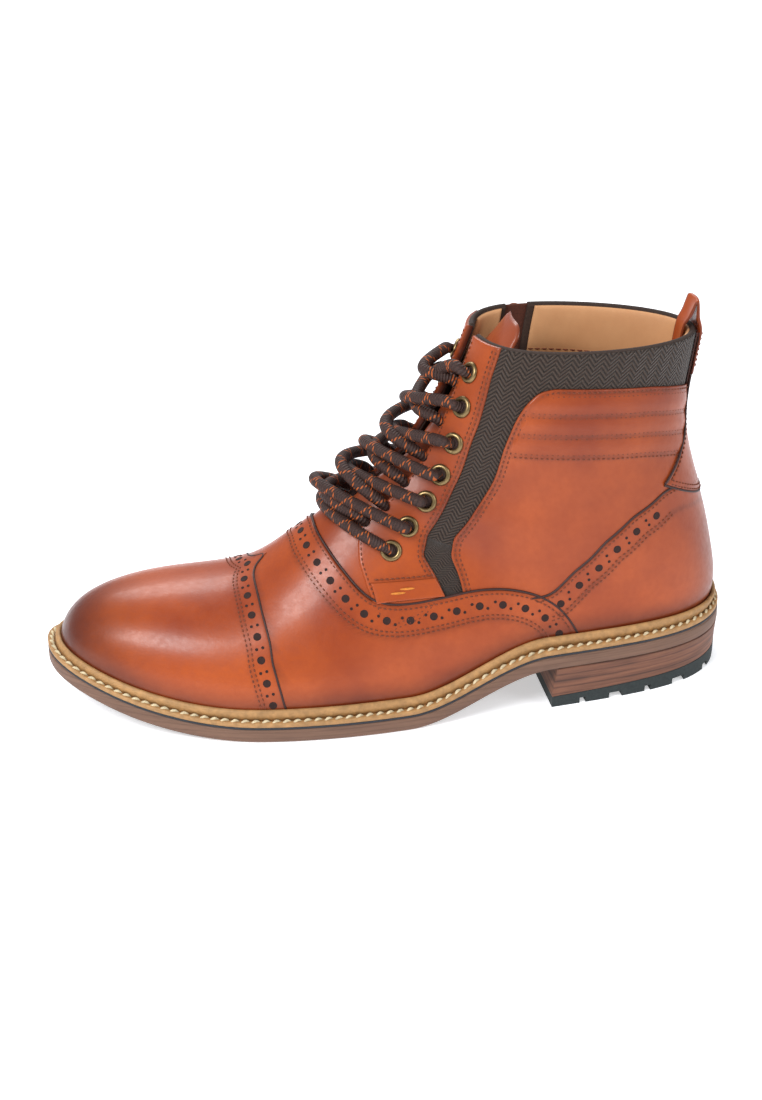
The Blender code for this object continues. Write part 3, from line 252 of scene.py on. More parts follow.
def sole_angle(station, side, up=0.0):
    """The angle where a ring comes down to a height over the midsole."""
    station = np.asarray(station, float)

    def over_midsole(angle):
        point = skin(station, angle, side)
        return point[..., 2] - midsole_top(point[..., 0]) - up

    found = falling_root(over_midsole, np.zeros_like(station), np.full_like(station, np.pi))
    return np.where(over_midsole(np.full_like(station, np.pi)) > 0, np.pi, found)


def seam_end(stations, angle, up):
    """The station between two whose point at that angle is at a height over the midsole."""
    def over_midsole(station):
        point = skin(station, angle, OUTER)
        return point[..., 2] - midsole_top(point[..., 0]) - up

    return float(falling_root(over_midsole, *stations))


def feather_line(side, up, samples):
    """Stations and angles round one side at a height over the midsole, from back to tip."""
    start = seam_end(BACK_SEAM, np.pi, up)
    end = seam_end(TOE_TIP, 0.0, up)
    share = np.linspace(0, 1, samples)
    station = start + (end - start) * (1 - np.cos(np.pi * share)) / 2
    return station, np.where(share <= 0, np.pi, sole_angle(station, side, up))


print("back seam meets the sole at station", round(seam_end(BACK_SEAM, np.pi, 0.0), 2))

# %% [markdown]
# ## From grids to meshes
# Each piece below is one grid of points, so one helper turns a grid into a mesh. A piece of
# leather is a closed shell: its upper face curls down to the lower face along its border. The
# curl comes from a table of distances and heights, which is the section of a folded edge.
# A Bevel modifier would round the edge too, but not with a different radius inwards and down.

# %% Mesh helpers
PIECES = []


def new_mesh(name, points, faces, finish, uv=None, smooth=True):
    """One mesh object at the origin, from whole arrays of points and a list of faces."""
    mesh = bpy.data.meshes.new(name)
    mesh.from_pydata(np.asarray(points, float).tolist(), [], faces)
    mesh.materials.append(finish)
    if smooth:
        mesh.polygons.foreach_set("use_smooth", np.ones(len(mesh.polygons), bool))
    if uv is not None:
        layer = mesh.uv_layers.new(name="cloth")
        corners = np.empty(len(mesh.loops), np.int32)
        mesh.loops.foreach_get("vertex_index", corners)
        layer.data.foreach_set("uv", np.asarray(uv, np.float32)[corners].ravel())
    mesh.update()
    made = bpy.data.objects.new(name, mesh)
    bpy.context.scene.collection.objects.link(made)
    PIECES.append(made)
    return made


def add_values(made, **columns):
    """Named numbers on the vertices, for materials to read."""
    for name, values in columns.items():
        layer = made.data.attributes.new(name, "FLOAT", "POINT")
        layer.data.foreach_set("value", np.asarray(values, np.float32).ravel())


def quads_of(index):
    """Faces between the rows and columns of a grid of vertex numbers."""
    return np.stack([index[:-1, :-1], index[:-1, 1:], index[1:, 1:], index[1:, :-1]],
                    axis=-1).reshape(-1, 4)


def wrap(index, axis):
    """The same grid with its first row or column again at the end."""
    first = np.take(index, [0], axis=axis)
    return np.concatenate([index, first], axis=axis)


def outward(points, faces):
    """The faces, turned over if they enclose a negative volume."""
    total = 0.0
    for face in faces:
        corner = points[list(face)]
        total += float(np.einsum("ij,j->i", np.cross(corner[1:-1], corner[2:]), corner[0]).sum())
    return faces if total > 0 else [tuple(face)[::-1] for face in faces]


def dress(made, body, slot, *nodes):
    """Puts the piece on its body and hides the CAD solids that it replaces; slot is not used."""
    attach(made, body)
    if nodes:
        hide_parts(*nodes)
    return made


# %% [markdown]
# Two grids of points, one outside and one inside, become a closed shell here. Every flat piece
# of leather, lining or cloth is made this way. A Solidify modifier drifts where the surface
# bends sharply, while two grids stay exact.

# %% Closed shells
def shell_volume(points, faces):
    """Six times the volume inside a closed mesh of quads; its sign says which way it faces."""
    a, b, c, d = (points[faces[:, k]] for k in range(4))
    first = np.einsum("ij,ij->i", a, np.cross(b, c))
    return float((first + np.einsum("ij,ij->i", a, np.cross(c, d))).sum())


def closed_sheet(name, top, bottom, finish, uv=None, shade=None, edge=0.0):
    """Two grids of points as one closed mesh; the border joins them.

    uv is two grids of millimetres, and shade and edge are numbers that the material reads."""
    count = top.shape[0] * top.shape[1]
    index = np.arange(count).reshape(top.shape[:2])
    faces = quads_of(index)
    border = np.concatenate([index[0, :-1], index[:-1, -1], index[-1, :0:-1], index[:0:-1, 0]])
    after = np.roll(border, -1)
    rim = np.stack([after, border, border + count, after + count], axis=-1)
    faces = np.concatenate([faces, rim, faces[:, ::-1] + count])
    points = np.concatenate([top.reshape(-1, 3), bottom.reshape(-1, 3)])
    if shell_volume(points, faces) < 0:
        faces = faces[:, ::-1]
    if uv is not None:
        uv = np.tile(np.stack([part.ravel() for part in uv], axis=-1), (2, 1))
    made = new_mesh(name, points, faces.tolist(), finish, uv)
    if shade is not None:
        add_values(made, shade=np.tile(np.broadcast_to(shade, count), 2),
                   edge=np.tile(np.broadcast_to(edge, count), 2))
    return made


# %% [markdown]
# ## Seams
# A seam is drawn the way a pattern cutter does it, as a short table of points on the last.
# Stitch rows, punched holes and the next piece's edge all follow it at a distance in
# millimetres. shifted() walks a line sideways over the skin: it solves for the small change of
# station and turn that moves each point square to the line. Offsetting in plain X and Z would
# leave the rows floating where the leather curves away.

# %% Seam tables and lines
THROAT_EDGE = ((0.0, 0.060), (1.0, 0.064), (2.0, 0.095), (3.0, 0.125), (4.5, 0.133),
               (6.0, 0.137), (7.2, 0.134), (8.0, 0.126), (8.5, 0.095), (8.8, 0.0))
WING_SEAM = ((8.86, 0.000), (9.14, 0.099), (9.50, 0.188), (9.72, 0.245), (9.78, 0.290),
             (9.47, 0.323), (8.85, 0.343), (8.27, 0.362), (7.92, 0.394), (7.78, 0.440),
             (7.90, 0.487), (8.24, 0.545), (8.59, 0.611))
CAP_SEAM = ((11.12, 0.000), (11.46, 0.050), (11.62, 0.110), (11.86, 0.180), (12.08, 0.250),
            (12.29, 0.306), (12.42, 0.370), (12.55, 0.450), (12.60, 0.520))
STAY_REAR = ((0.02, 0.242), (1.0, 0.234), (2.4, 0.248), (4.8, 0.242), (7.2, 0.238),
             (7.9, 0.254), (8.62, 0.326), (9.3, 0.40))
BAND_EDGE = ((9.0, 0.40), (8.42, 0.346), (7.60, 0.288), (6.96, 0.276), (5.67, 0.293),
             (3.11, 0.337), (2.08, 0.356), (1.60, 0.376), (1.22, 0.410), (1.09, 0.455),
             (1.12, 0.586), (1.21, 0.726), (1.38, 0.83), (1.62, 0.96), (1.64, 1.0))
QUARTER_FOOT = ((9.6, 0.42), (9.0, 0.46), (8.6, 0.50), (8.4, 0.56), (8.2, 0.60), (8.0, 0.64),
                (7.6, 0.68), (7.2, 0.72), (6.8, 0.76), (6.4, 0.80), (6.0, 0.86), (5.8, 0.92),
                (5.6, 0.97), (5.5, 1.0))
COUNTER_TOP = ((7.95, 0.430), (7.72, 0.452), (7.40, 0.455), (6.87, 0.468), (5.80, 0.525),
               (4.85, 0.608), (4.12, 0.718), (4.00, 0.79), (4.05, 0.87), (4.08, 1.0))
STAY_END = ((0.10, 0.945), (1.6, 0.945), (2.65, 0.914), (3.38, 0.812), (3.92, 0.728))
ZIP_LINE = ((-0.5, 0.420), (1.6, 0.421), (3.0, 0.412), (4.6, 0.383), (6.3, 0.369),
            (7.4, 0.374), (8.2, 0.404), (9.2, 0.486))
ZIP_FOOT_STATION = 8.95
EYELETS = ((1.11, 0.130), (2.06, 0.163), (3.19, 0.194), (4.48, 0.198), (5.84, 0.201),
           (7.17, 0.201), (8.19, 0.208))


def seam(table, samples=240, smooth=9):
    """The table's points as a line of stations and angles, its corners softened by averaging."""
    rows = np.array(table, float)
    step = np.hypot(np.diff(rows[:, 0]), 12 * np.diff(rows[:, 1]))
    place = np.concatenate([[0], np.cumsum(step)]) / step.sum()
    share = np.linspace(0, 1, samples)
    columns = []
    for column in (rows[:, 0], rows[:, 1] * np.pi):
        line = np.interp(share, place, column)
        padded = np.pad(line, smooth, mode="reflect", reflect_type="odd")
        kernel = np.hanning(2 * smooth + 3)[1:-1]
        columns.append(np.convolve(padded, kernel / kernel.sum(), mode="valid"))
    return columns[0], columns[1]


def angle_at(table, station):
    rows = np.array(table, float)
    return np.interp(station, rows[:, 0], rows[:, 1]) * np.pi


def to_sole(line, side):
    """Stretches a half line so that it ends on the welt."""
    station, angle = line
    reach = sole_angle(station[-1], side, 1.0 * MM)
    share = np.linspace(0, 1, len(angle)) ** 2
    return station, angle * (1 + share * (reach / angle[-1] - 1))


def over_ridge(line):
    """Both halves of a line that crosses the ridge, from the inner welt to the outer one."""
    inner, outer = to_sole(line, INNER), to_sole(line, OUTER)
    return (np.concatenate([inner[0][:0:-1], outer[0]]),
            np.concatenate([-inner[1][:0:-1], outer[1]]))


def round_back(line):
    """Both halves of a line that crosses the back seam, from the outer side to the inner one."""
    return (np.concatenate([line[0], line[0][-2::-1]]),
            np.concatenate([line[1], 2 * np.pi - line[1][-2::-1]]))


def shifted(line, distance, steps=8):
    """The line moved over the skin, square to itself: left of its direction, seen from outside.

    Between the steps it is spaced evenly and its points are averaged with their neighbours."""
    step = distance / steps
    station, turn = resampled(line, min(len(line[0]), 320))
    for _ in range(steps):
        point = on_skin(station, turn)
        tangent = unit(np.gradient(point, axis=0))
        by_station = on_skin(station + SMALL, turn) - on_skin(station - SMALL, turn)
        by_turn = on_skin(station, turn + SMALL) - on_skin(station, turn - SMALL)
        by_station, by_turn = by_station / (2 * SMALL), by_turn / (2 * SMALL)
        away = np.cross(skin_normal(station, turn), tangent) * step
        a = (by_station * by_station).sum(-1)
        b = (by_station * by_turn).sum(-1)
        c = (by_turn * by_turn).sum(-1)
        d = (by_station * away).sum(-1)
        e = (by_turn * away).sum(-1)
        whole = a * c - b * b
        station = averaged(station + (c * d - b * e) / whole)
        turn = averaged(turn + (a * e - b * d) / whole)
        station, turn = resampled((station, turn), len(station))
    return station, turn


def averaged(values, times=3):
    """Each value averaged with its neighbours; the two ends stay."""
    for _ in range(times):
        inner = (values[:-2] + 2 * values[1:-1] + values[2:]) / 4
        values = np.concatenate([values[:1], inner, values[-1:]])
    return values


def resampled(line, samples):
    """The line with its points evenly spaced in millimetres."""
    place = lengths_along(on_skin(*line))
    even = np.linspace(0, place[-1], samples)
    return np.interp(even, place, line[0]), np.interp(even, place, line[1])


def between_lines(lines, samples=400):
    """A route over the skin through a list of lines: t picks the line, s the place along it."""
    lines = [resampled(line, samples) for line in lines]
    stations = np.stack([line[0] for line in lines])
    turns = np.stack([line[1] for line in lines])

    def route(s, t):
        i = np.clip(s, 0, 1) * (samples - 1)
        j = np.clip(t, 0, 1) * (len(lines) - 1)
        low_i = np.minimum(i.astype(int), samples - 2)
        low_j = np.minimum(j.astype(int), len(lines) - 2)
        a, b = i - low_i, j - low_j
        found = []
        for grid in (stations, turns):
            above = grid[low_j, low_i] * (1 - a) + grid[low_j, low_i + 1] * a
            below = grid[low_j + 1, low_i] * (1 - a) + grid[low_j + 1, low_i + 1] * a
            found.append(above * (1 - b) + below * b)
        return found[0], found[1]

    return route


cap_line = over_ridge(seam(CAP_SEAM, smooth=3))
wing_line = over_ridge(seam(WING_SEAM))
counter_line = round_back(seam(COUNTER_TOP))
print("cap seam", round(length_of(on_skin(*cap_line)) / MM), "mm, wing seam",
      round(length_of(on_skin(*wing_line)) / MM), "mm")

# %% [markdown]
# ## Leather finishes
# The real leather is dyed orange-brown, waxed, and burnished almost black at the toe, at the
# heel and along its cut edges. One material does it all: soft noise mixes two dyes, two numbers
# that are stored on the vertices darken it near edges, where it was burnished and where shade is
# painted, and a fine cell pattern gives the grain as a bump. An image texture would need
# unwrapping and baking; a rule costs nothing and stays sharp at any distance.


# %% Node helpers
def new_material(name, **numbers):
    """A material, its tree and its shader, with some of the shader's numbers set."""
    made = bpy.data.materials.new(name)
    made.use_nodes = True
    tree = made.node_tree
    shader = tree.nodes["Principled BSDF"]
    for socket, value in numbers.items():
        shader.inputs[socket.replace("_", " ")].default_value = value
    return made, tree, shader


def node(tree, kind, **settings):
    made = tree.nodes.new(kind)
    for key, value in settings.items():
        setattr(made, key, value)
    return made


def object_place(tree):
    return node(tree, "ShaderNodeTexCoord").outputs["Object"]


def noise(tree, vector, scale, detail=3.0, rough=0.5):
    made = node(tree, "ShaderNodeTexNoise")
    made.inputs["Scale"].default_value = scale
    made.inputs["Detail"].default_value = detail
    made.inputs["Roughness"].default_value = rough
    tree.links.new(vector, made.inputs["Vector"])
    return made.outputs["Fac"]


def calc(tree, operation, first, second=0.0, third=None, clamp=False):
    made = node(tree, "ShaderNodeMath", operation=operation, use_clamp=clamp)
    for socket, value in zip(made.inputs, (first, second, third)):
        if value is None:
            continue
        if isinstance(value, (int, float)):
            socket.default_value = value
        else:
            tree.links.new(value, socket)
    return made.outputs[0]


def ramp(tree, value, low, high, start=0.0, end=1.0):
    """Maps a value from one range to another, and holds it at the ends."""
    made = node(tree, "ShaderNodeMapRange")
    tree.links.new(value, made.inputs["Value"])
    for socket, number in zip(("From Min", "From Max", "To Min", "To Max"),
                              (low, high, start, end)):
        made.inputs[socket].default_value = number
    return made.outputs["Result"]


def mix(tree, share, first, second):
    made = node(tree, "ShaderNodeMix", data_type="RGBA")
    for number, value in ((0, share), (6, first), (7, second)):
        socket = made.inputs[number]
        if isinstance(value, (int, float)):
            socket.default_value = value
        elif isinstance(value, tuple):
            socket.default_value = (*value, 1.0)
        else:
            tree.links.new(value, socket)
    return made.outputs[2]


def bump(tree, shader, height, strength, distance, before=None):
    made = node(tree, "ShaderNodeBump")
    made.inputs["Strength"].default_value = strength
    made.inputs["Distance"].default_value = distance
    tree.links.new(height, made.inputs["Height"])
    if before is not None:
        tree.links.new(before, made.inputs["Normal"])
    tree.links.new(made.outputs["Normal"], shader.inputs["Normal"])
    return made.outputs["Normal"]


def read(tree, name):
    return node(tree, "ShaderNodeAttribute", attribute_name=name).outputs["Fac"]


# %% [markdown]
# The leather's own material. The edge number is 1 where a piece's border curls down, so the
# dark dye sits on the cut edge, as edge ink does on the real boot.

# %% Leather
ORANGE = (0.41, 0.074, 0.012)
RUST = (0.26, 0.038, 0.007)
DARK_DYE_AND_SHADE = (0.058, 0.010, 0.004)
CLOUD_SCALE, SPECKLE_SCALE, WRINKLE_SCALE, PORE_SCALE = 26.0, 420.0, 75.0, 950.0


def leather(name, light=ORANGE, deep=RUST, dark=DARK_DYE_AND_SHADE, roughness=0.37, coat=0.14):
    """Two dyes mixed by soft noise, darkened by the edge and shade numbers, finely grained."""
    made, tree, shader = new_material(name, Coat_Weight=coat, Coat_Roughness=0.18,
                                      Specular_IOR_Level=0.32)
    place = object_place(tree)
    clouds = noise(tree, place, CLOUD_SCALE, 4.0, 0.55)
    speckle = noise(tree, place, SPECKLE_SCALE, 2.0, 0.6)
    dye_and_shade = mix(tree, ramp(tree, clouds, 0.34, 0.68), light, deep)
    dye_and_shade = mix(tree, ramp(tree, speckle, 0.35, 0.75, 0.0, 0.22), dye_and_shade, deep)
    uneven = ramp(tree, clouds, 0.2, 0.8, 0.75, 1.2)
    shade = calc(tree, "MULTIPLY", read(tree, "shade"), uneven)
    # The shade number mixes burnish and painted shade into the colour, towards the dark dye
    dye_and_shade = mix(tree, ramp(tree, shade, 0.0, 1.0, 0.0, 0.92), dye_and_shade, dark)
    dye_and_shade = mix(tree, ramp(tree, read(tree, "edge"), 0.12, 0.75, 0.0, 0.94), dye_and_shade, dark)
    tree.links.new(dye_and_shade, shader.inputs["Base Color"])
    tree.links.new(ramp(tree, speckle, 0.3, 0.8, roughness - 0.05, roughness + 0.10),
                   shader.inputs["Roughness"])
    pores = node(tree, "ShaderNodeTexVoronoi", feature="F1")
    pores.inputs["Scale"].default_value = PORE_SCALE
    tree.links.new(place, pores.inputs["Vector"])
    grain = bump(tree, shader, pores.outputs["Distance"], 0.16, 0.12 * MM)
    bump(tree, shader, noise(tree, place, WRINKLE_SCALE, 4.0, 0.6), 0.22, 0.5 * MM, grain)
    return made


COGNAC = leather("cognac_leather")
print("material:", COGNAC.name)

# %% [markdown]
# ## Where the leather is dark
# shade is 0 on fresh leather and 1 where it is burnished; painted shade raises it too. It rises
# over the tip of the toe and the back of the heel, where the leather is burnished, and close to
# every seam, because wax and dye gather there. A narrow band above the welt is painted shade, the
# shadow in the corner over the storm rib, and the shaft is painted darker towards its top as
# painted shade of its upright wall. Painting it by hand in Texture Paint is the usual way;
# distances to named lines give the same marks and follow the boot when a size changes.

# %% Burnish and painted shade
TOE_BURN_START, TOE_BURN_END, TOE_BURN = 195 * MM, 246 * MM, 0.86
HEEL_BURN_START, HEEL_BURN_END, HEEL_BURN = -14 * MM, -34 * MM, 0.55
HEEL_BURN_TOP, HEEL_BURN_FADE = 95 * MM, 60 * MM
# Painted shade: a band over the storm rib, where its corner is in shade, and the shaft, darker
# towards its top
WELT_SHADE_START, WELT_SHADE_FADE, WELT_SHADE = 4 * MM, 13 * MM, 0.75
SHAFT_SHADE_START, SHAFT_SHADE_FADE, SHAFT_SHADE = 50 * MM, 50 * MM, 0.15
SEAM_STAIN = 0.55
POINTS_AT_ONCE = 4000


def nearest(points, spots):
    """How far each point is from the nearest of some spots, a few thousand points at a time."""
    parts = [np.linalg.norm(points[start:start + POINTS_AT_ONCE, None] - spots[None], axis=-1)
             .min(axis=1) for start in range(0, len(points), POINTS_AT_ONCE)]
    return np.concatenate(parts)


def burnish_and_shade(points):
    """Toe and heel burnish, and painted shade over the welt and up the shaft: smooth steps along X
    and above the midsole.
    """
    x, z = points[:, 0], points[:, 2]
    above = z - midsole_top(x + FRAME_SHIFT[0])
    toe = smoothstep((x - TOE_BURN_START) / (TOE_BURN_END - TOE_BURN_START)) ** 1.2
    heel = smoothstep((HEEL_BURN_START - x) / (HEEL_BURN_START - HEEL_BURN_END))
    heel = heel * smoothstep((HEEL_BURN_TOP - z) / HEEL_BURN_FADE)
    welt = 1 - smoothstep((above - WELT_SHADE_START) / WELT_SHADE_FADE)
    shaft = smoothstep((z - SHAFT_SHADE_START) / SHAFT_SHADE_FADE)
    clean = (1 - TOE_BURN * toe) * (1 - HEEL_BURN * heel)
    return 1 - clean * (1 - WELT_SHADE * welt) * (1 - SHAFT_SHADE * shaft)


def shades_by(*lines, width=2.2 * MM):
    """A shading rule: the burnish and painted shade, plus a stain that fades as a bell beside some
    seams.
    """
    def rule(points):
        clean = 1 - burnish_and_shade(points)
        if lines:
            gap = np.min([nearest(points, on_skin(*line, 1.0 * MM)[::3]) for line in lines], axis=0)
            clean = clean * (1 - SEAM_STAIN * (1 - np.tanh((gap / width) ** 2)))
        return 1 - clean
    return rule


# A leather piece's border curls from its upper face down to its lower one
CURL_IN = np.array([0.0, 0.06, 0.25, 0.6, 1.1]) * MM
CURL_UP = np.array([0.0, 0.55, 0.86, 0.97, 1.0])
CURL_ROOM = 1.3 * CURL_IN[-1]
UNDERCUT = 0.12 * MM


def curled(length, step, curl_start, curl_end):
    """Places along a side as shares of it, and how far the edge has curled up there."""
    place = np.linspace(0, 1, max(int(length / step), 4) + 1)
    rise = np.ones_like(place)
    if curl_start:
        keep = place * length > CURL_ROOM
        place = np.concatenate([CURL_IN / length, place[keep]])
        rise = np.concatenate([CURL_UP, rise[keep]])
    if curl_end:
        keep = (1 - place) * length > CURL_ROOM
        place = np.concatenate([place[keep], 1 - CURL_IN[::-1] / length])
        rise = np.concatenate([rise[keep], CURL_UP[::-1]])
    return place, rise


def leather_piece(name, route, low, high, shades, curls="t", step=1.0 * MM, relief=None, nodes=()):
    """A shell over the skin. route(s, t) gives stations and turns; s runs across, t along.

    The upper face is at lift high, and drops to low where an edge named in curls curls in:
    t and b are the start and end of t, l and r those of s."""
    probe = np.linspace(0, 1, 40)
    half = np.full(40, 0.5)
    along = length_of(on_skin(*route(half, probe)))
    across = length_of(on_skin(*route(probe, half)))
    t, rise_t = curled(along, step, "t" in curls, "b" in curls)
    s, rise_s = curled(across, step, "l" in curls, "r" in curls)
    station, turn = route(*np.meshgrid(s, t))
    rise = np.minimum(rise_t[:, None], rise_s[None, :])
    lift = low + (high - low) * rise
    if relief is not None:
        lift = lift + relief(station, turn) * rise ** 4
    top = on_skin(station, turn, lift)
    made = closed_sheet(name, top, on_skin(station, turn, low - UNDERCUT), COGNAC,
                        shade=shades(top.reshape(-1, 3)), edge=1 - rise.ravel())
    print(f"{name}: {across / MM:.0f} by {along / MM:.0f} mm")
    return dress(made, "boot", "leather", *nodes)


# %% [markdown]
# ## Stitches
# A stitch is a short thread that dives into the leather at both ends. One small grid makes it:
# a circle whose centre rises and falls as a half sine. Its copies are placed with whole arrays
# at even steps along a shifted seam. An Array modifier on a curve bunches up at bends and
# can't lean each copy to the surface's normal.


# %% Copies along a line
def stitch_shape(length, thick, sides=6, rings=5):
    """A thread as a grid: x runs along it, and its middle stands proud by its thickness."""
    share = np.linspace(0, 1, rings)[:, None]
    around = np.linspace(0, 2 * np.pi, sides, endpoint=False)[None, :]
    swell = np.sin(np.pi * (0.12 + 0.76 * share))
    points = np.stack([
        (share - 0.5) * length * np.ones_like(around),
        thick / 2 * swell * np.cos(around),
        thick / 2 * swell * np.sin(around) + thick * (0.75 * np.sin(np.pi * share) - 0.45),
    ], axis=-1).reshape(-1, 3)
    index = wrap(np.arange(rings * sides).reshape(rings, sides), 1)
    faces = quads_of(index)[:, ::-1].tolist()
    faces += [tuple(range(sides)), tuple(range((rings - 1) * sides, rings * sides))[::-1]]
    return points, faces


def copies(name, shape, places, forward, out, finish, lean=0.0):
    """One mesh of a shape set at many places, its x along forward and its z along out."""
    points, faces = shape
    faces = outward(points, faces)
    side = unit(np.cross(out, forward))
    forward = unit(np.cross(side, out))
    forward, side = (forward * math.cos(lean) + side * math.sin(lean),
                     side * math.cos(lean) - forward * math.sin(lean))
    turned = (points[None, :, 0:1] * forward[:, None] + points[None, :, 1:2] * side[:, None]
              + points[None, :, 2:3] * out[:, None])
    every = (places[:, None] + turned).reshape(-1, 3)
    jumps = (np.arange(len(places)) * len(points)).tolist()
    all_faces = [tuple(v + jump for v in face) for jump in jumps for face in faces]
    return new_mesh(name, every, all_faces, finish)


def along_line(line, pitch, lift, start=0.0, end=0.0):
    """Places, directions and normals at even steps along a line on the skin."""
    point = on_skin(*line, lift)
    place = lengths_along(point)
    room = place[-1] - start - end
    count = max(int(room / pitch), 1)
    even = start + (np.arange(count) + 0.5) * room / count
    station = np.interp(even, place, line[0])
    turn = np.interp(even, place, line[1])
    here = on_skin(station, turn, lift)
    next_step = even + 0.2 * MM
    ahead = np.stack([np.interp(next_step, place, point[:, k]) for k in range(3)], axis=-1)
    return here, unit(ahead - here), skin_normal(station, turn)


def gathered(rows):
    """Several rows of places, directions and normals as one."""
    return [np.concatenate([row[k] for row in rows]) for k in range(3)]


STITCH_ROWS = []
STITCH_PITCH = 2.15 * MM
TWIN = 0.85 * MM


def stitch(line, distance, lift, twin=False, start=2 * MM, end=2 * MM):
    """Adds a row of stitches, or two, at a distance from a line. They are meshed later."""
    for shift in ((distance - TWIN, distance + TWIN) if twin else (distance,)):
        moved = shifted(line, shift) if shift else line
        STITCH_ROWS.append(along_line(moved, STITCH_PITCH, lift, start, end))


# %% [markdown]
# ## Brogue holes
# Brogueing is a row of punched holes, big ones with pairs of small ones between. Each is a
# shallow cup with a turned-up rim that sits in the leather, coloured near black as painted shade
# for the hole's depth. Cutting real holes with a Boolean would break the smooth shell for no gain
# at this size.

# %% Brogue holes and a plain finish
BIG_HOLE, SMALL_HOLE = 1.45 * MM, 0.55 * MM
HOLE_PITCH = 9.6 * MM
SMALL_HOLE_SHIFT = 1.3 * MM
HOLE_SPOTS = {BIG_HOLE: [], SMALL_HOLE: []}
HOLE_PROFILE = np.array([(1.22, -0.12), (1.12, 0.14), (1.0, 0.16), (0.92, 0.11), (0.4, 0.10)])


def hole_shape(radius, sides=12):
    """The hole's profile, shares of the radius and heights in millimetres, spun and closed."""
    around = np.linspace(0, 2 * np.pi, sides, endpoint=False)
    reach = HOLE_PROFILE[:, :1] * radius
    points = np.stack([reach * np.cos(around), reach * np.sin(around),
                       HOLE_PROFILE[:, 1:] * MM * np.ones_like(around)], axis=-1).reshape(-1, 3)
    rings = np.arange(len(points)).reshape(len(HOLE_PROFILE), sides)
    faces = quads_of(wrap(rings, 1)).tolist()
    faces += [tuple(rings[0][::-1].tolist()), tuple(rings[-1].tolist())]
    return points, faces


def punch(line, distance, lift, start, end):
    """A brogued row: one big hole, then two small ones across the band, and so on."""
    middle = shifted(line, distance)
    HOLE_SPOTS[BIG_HOLE].append(along_line(middle, HOLE_PITCH, lift, start, end))
    for step in (-SMALL_HOLE_SHIFT, SMALL_HOLE_SHIFT):
        row = shifted(line, distance + step)
        HOLE_SPOTS[SMALL_HOLE].append(along_line(row, HOLE_PITCH, lift, start + HOLE_PITCH / 2,
                                                 end + HOLE_PITCH / 2))


def plain(name, colour, roughness, metallic=0.0, scale=600.0, strength=0.15):
    """One colour with a little noise in it, and a fine bump."""
    made, tree, shader = new_material(name, Roughness=roughness, Metallic=metallic)
    fine = noise(tree, object_place(tree), scale, 3.0, 0.6)
    deep = tuple(part * 0.6 for part in colour)
    tree.links.new(mix(tree, ramp(tree, fine, 0.3, 0.75), deep, colour),
                   shader.inputs["Base Color"])
    bump(tree, shader, fine, strength, 0.15 * MM)
    return made


# %% [markdown]
# ## Cloth, lining, rubber, wood and metal finishes
# The side panels are a herringbone tweed: rows of short slanted yarns whose lean flips from
# column to column. The UV map is in millimetres, so the pattern's pitch is a plain number. The
# lean is |u| folded back and forth, added to v; a wave along that sum draws the yarns. The heel
# is stacked leather, so it gets thin level layers. The rubber and the metals are plain.

# %% Tweed, layers and plain finishes
COLUMN_WIDTH = 3.3
YARN_PITCH = 1.9
YARN_DARK, YARN_LIGHT, YARN_RUST = (0.008, 0.005, 0.004), (0.085, 0.060, 0.046), (0.050, 0.026, 0.018)


def part_of(tree, vector, axis):
    split = node(tree, "ShaderNodeSeparateXYZ")
    tree.links.new(vector, split.inputs[0])
    return split.outputs[axis]


def wave(tree, value, pitch):
    return calc(tree, "SINE", calc(tree, "MULTIPLY", value, 2 * math.pi / pitch))


def tweed(name):
    """Slanted yarns whose lean flips from column to column, with flecks of two tones."""
    made, tree, shader = new_material(name, Roughness=0.95, Sheen_Weight=0.25,
                                      Specular_IOR_Level=0.15)
    uv = node(tree, "ShaderNodeUVMap", uv_map="cloth").outputs["UV"]
    fold = calc(tree, "PINGPONG", part_of(tree, uv, "X"), COLUMN_WIDTH)
    yarn = wave(tree, calc(tree, "ADD", part_of(tree, uv, "Y"), fold), YARN_PITCH)
    flecks = noise(tree, uv, 1.7, 3.0, 0.7)
    spots = noise(tree, uv, 0.55, 2.0, 0.5)
    tone = calc(tree, "ADD", ramp(tree, yarn, -0.6, 0.9, 0.0, 0.62),
                ramp(tree, flecks, 0.35, 0.75, 0, 0.45))
    colour = mix(tree, tone, YARN_DARK, YARN_LIGHT)
    colour = mix(tree, ramp(tree, spots, 0.5, 0.8, 0.0, 0.5), colour, YARN_RUST)
    tree.links.new(colour, shader.inputs["Base Color"])
    bump(tree, shader, calc(tree, "ADD", yarn, flecks), 0.75, 0.30 * MM)
    return made


def stacked(name, light, dark, pitch):
    """Level layers of leather or foam, with a little unevenness."""
    made, tree, shader = new_material(name, Roughness=0.62)
    place = object_place(tree)
    squash = node(tree, "ShaderNodeMapping")
    squash.inputs["Scale"].default_value = (1.0, 1.0, 12.0)
    tree.links.new(place, squash.inputs["Vector"])
    streaks = noise(tree, squash.outputs["Vector"], 42.0, 5.0, 0.65)
    height = calc(tree, "MULTIPLY_ADD", noise(tree, place, 22.0, 2.0), 1.2 * MM,
                  part_of(tree, place, "Z"))
    tone = calc(tree, "ADD", ramp(tree, streaks, 0.32, 0.68, 0.0, 0.75),
                ramp(tree, wave(tree, height, pitch), 0.5, 1, 0, 0.4))
    tree.links.new(mix(tree, calc(tree, "MINIMUM", tone, 1.0), light, dark),
                   shader.inputs["Base Color"])
    bump(tree, shader, streaks, 0.35, 0.25 * MM)
    return made


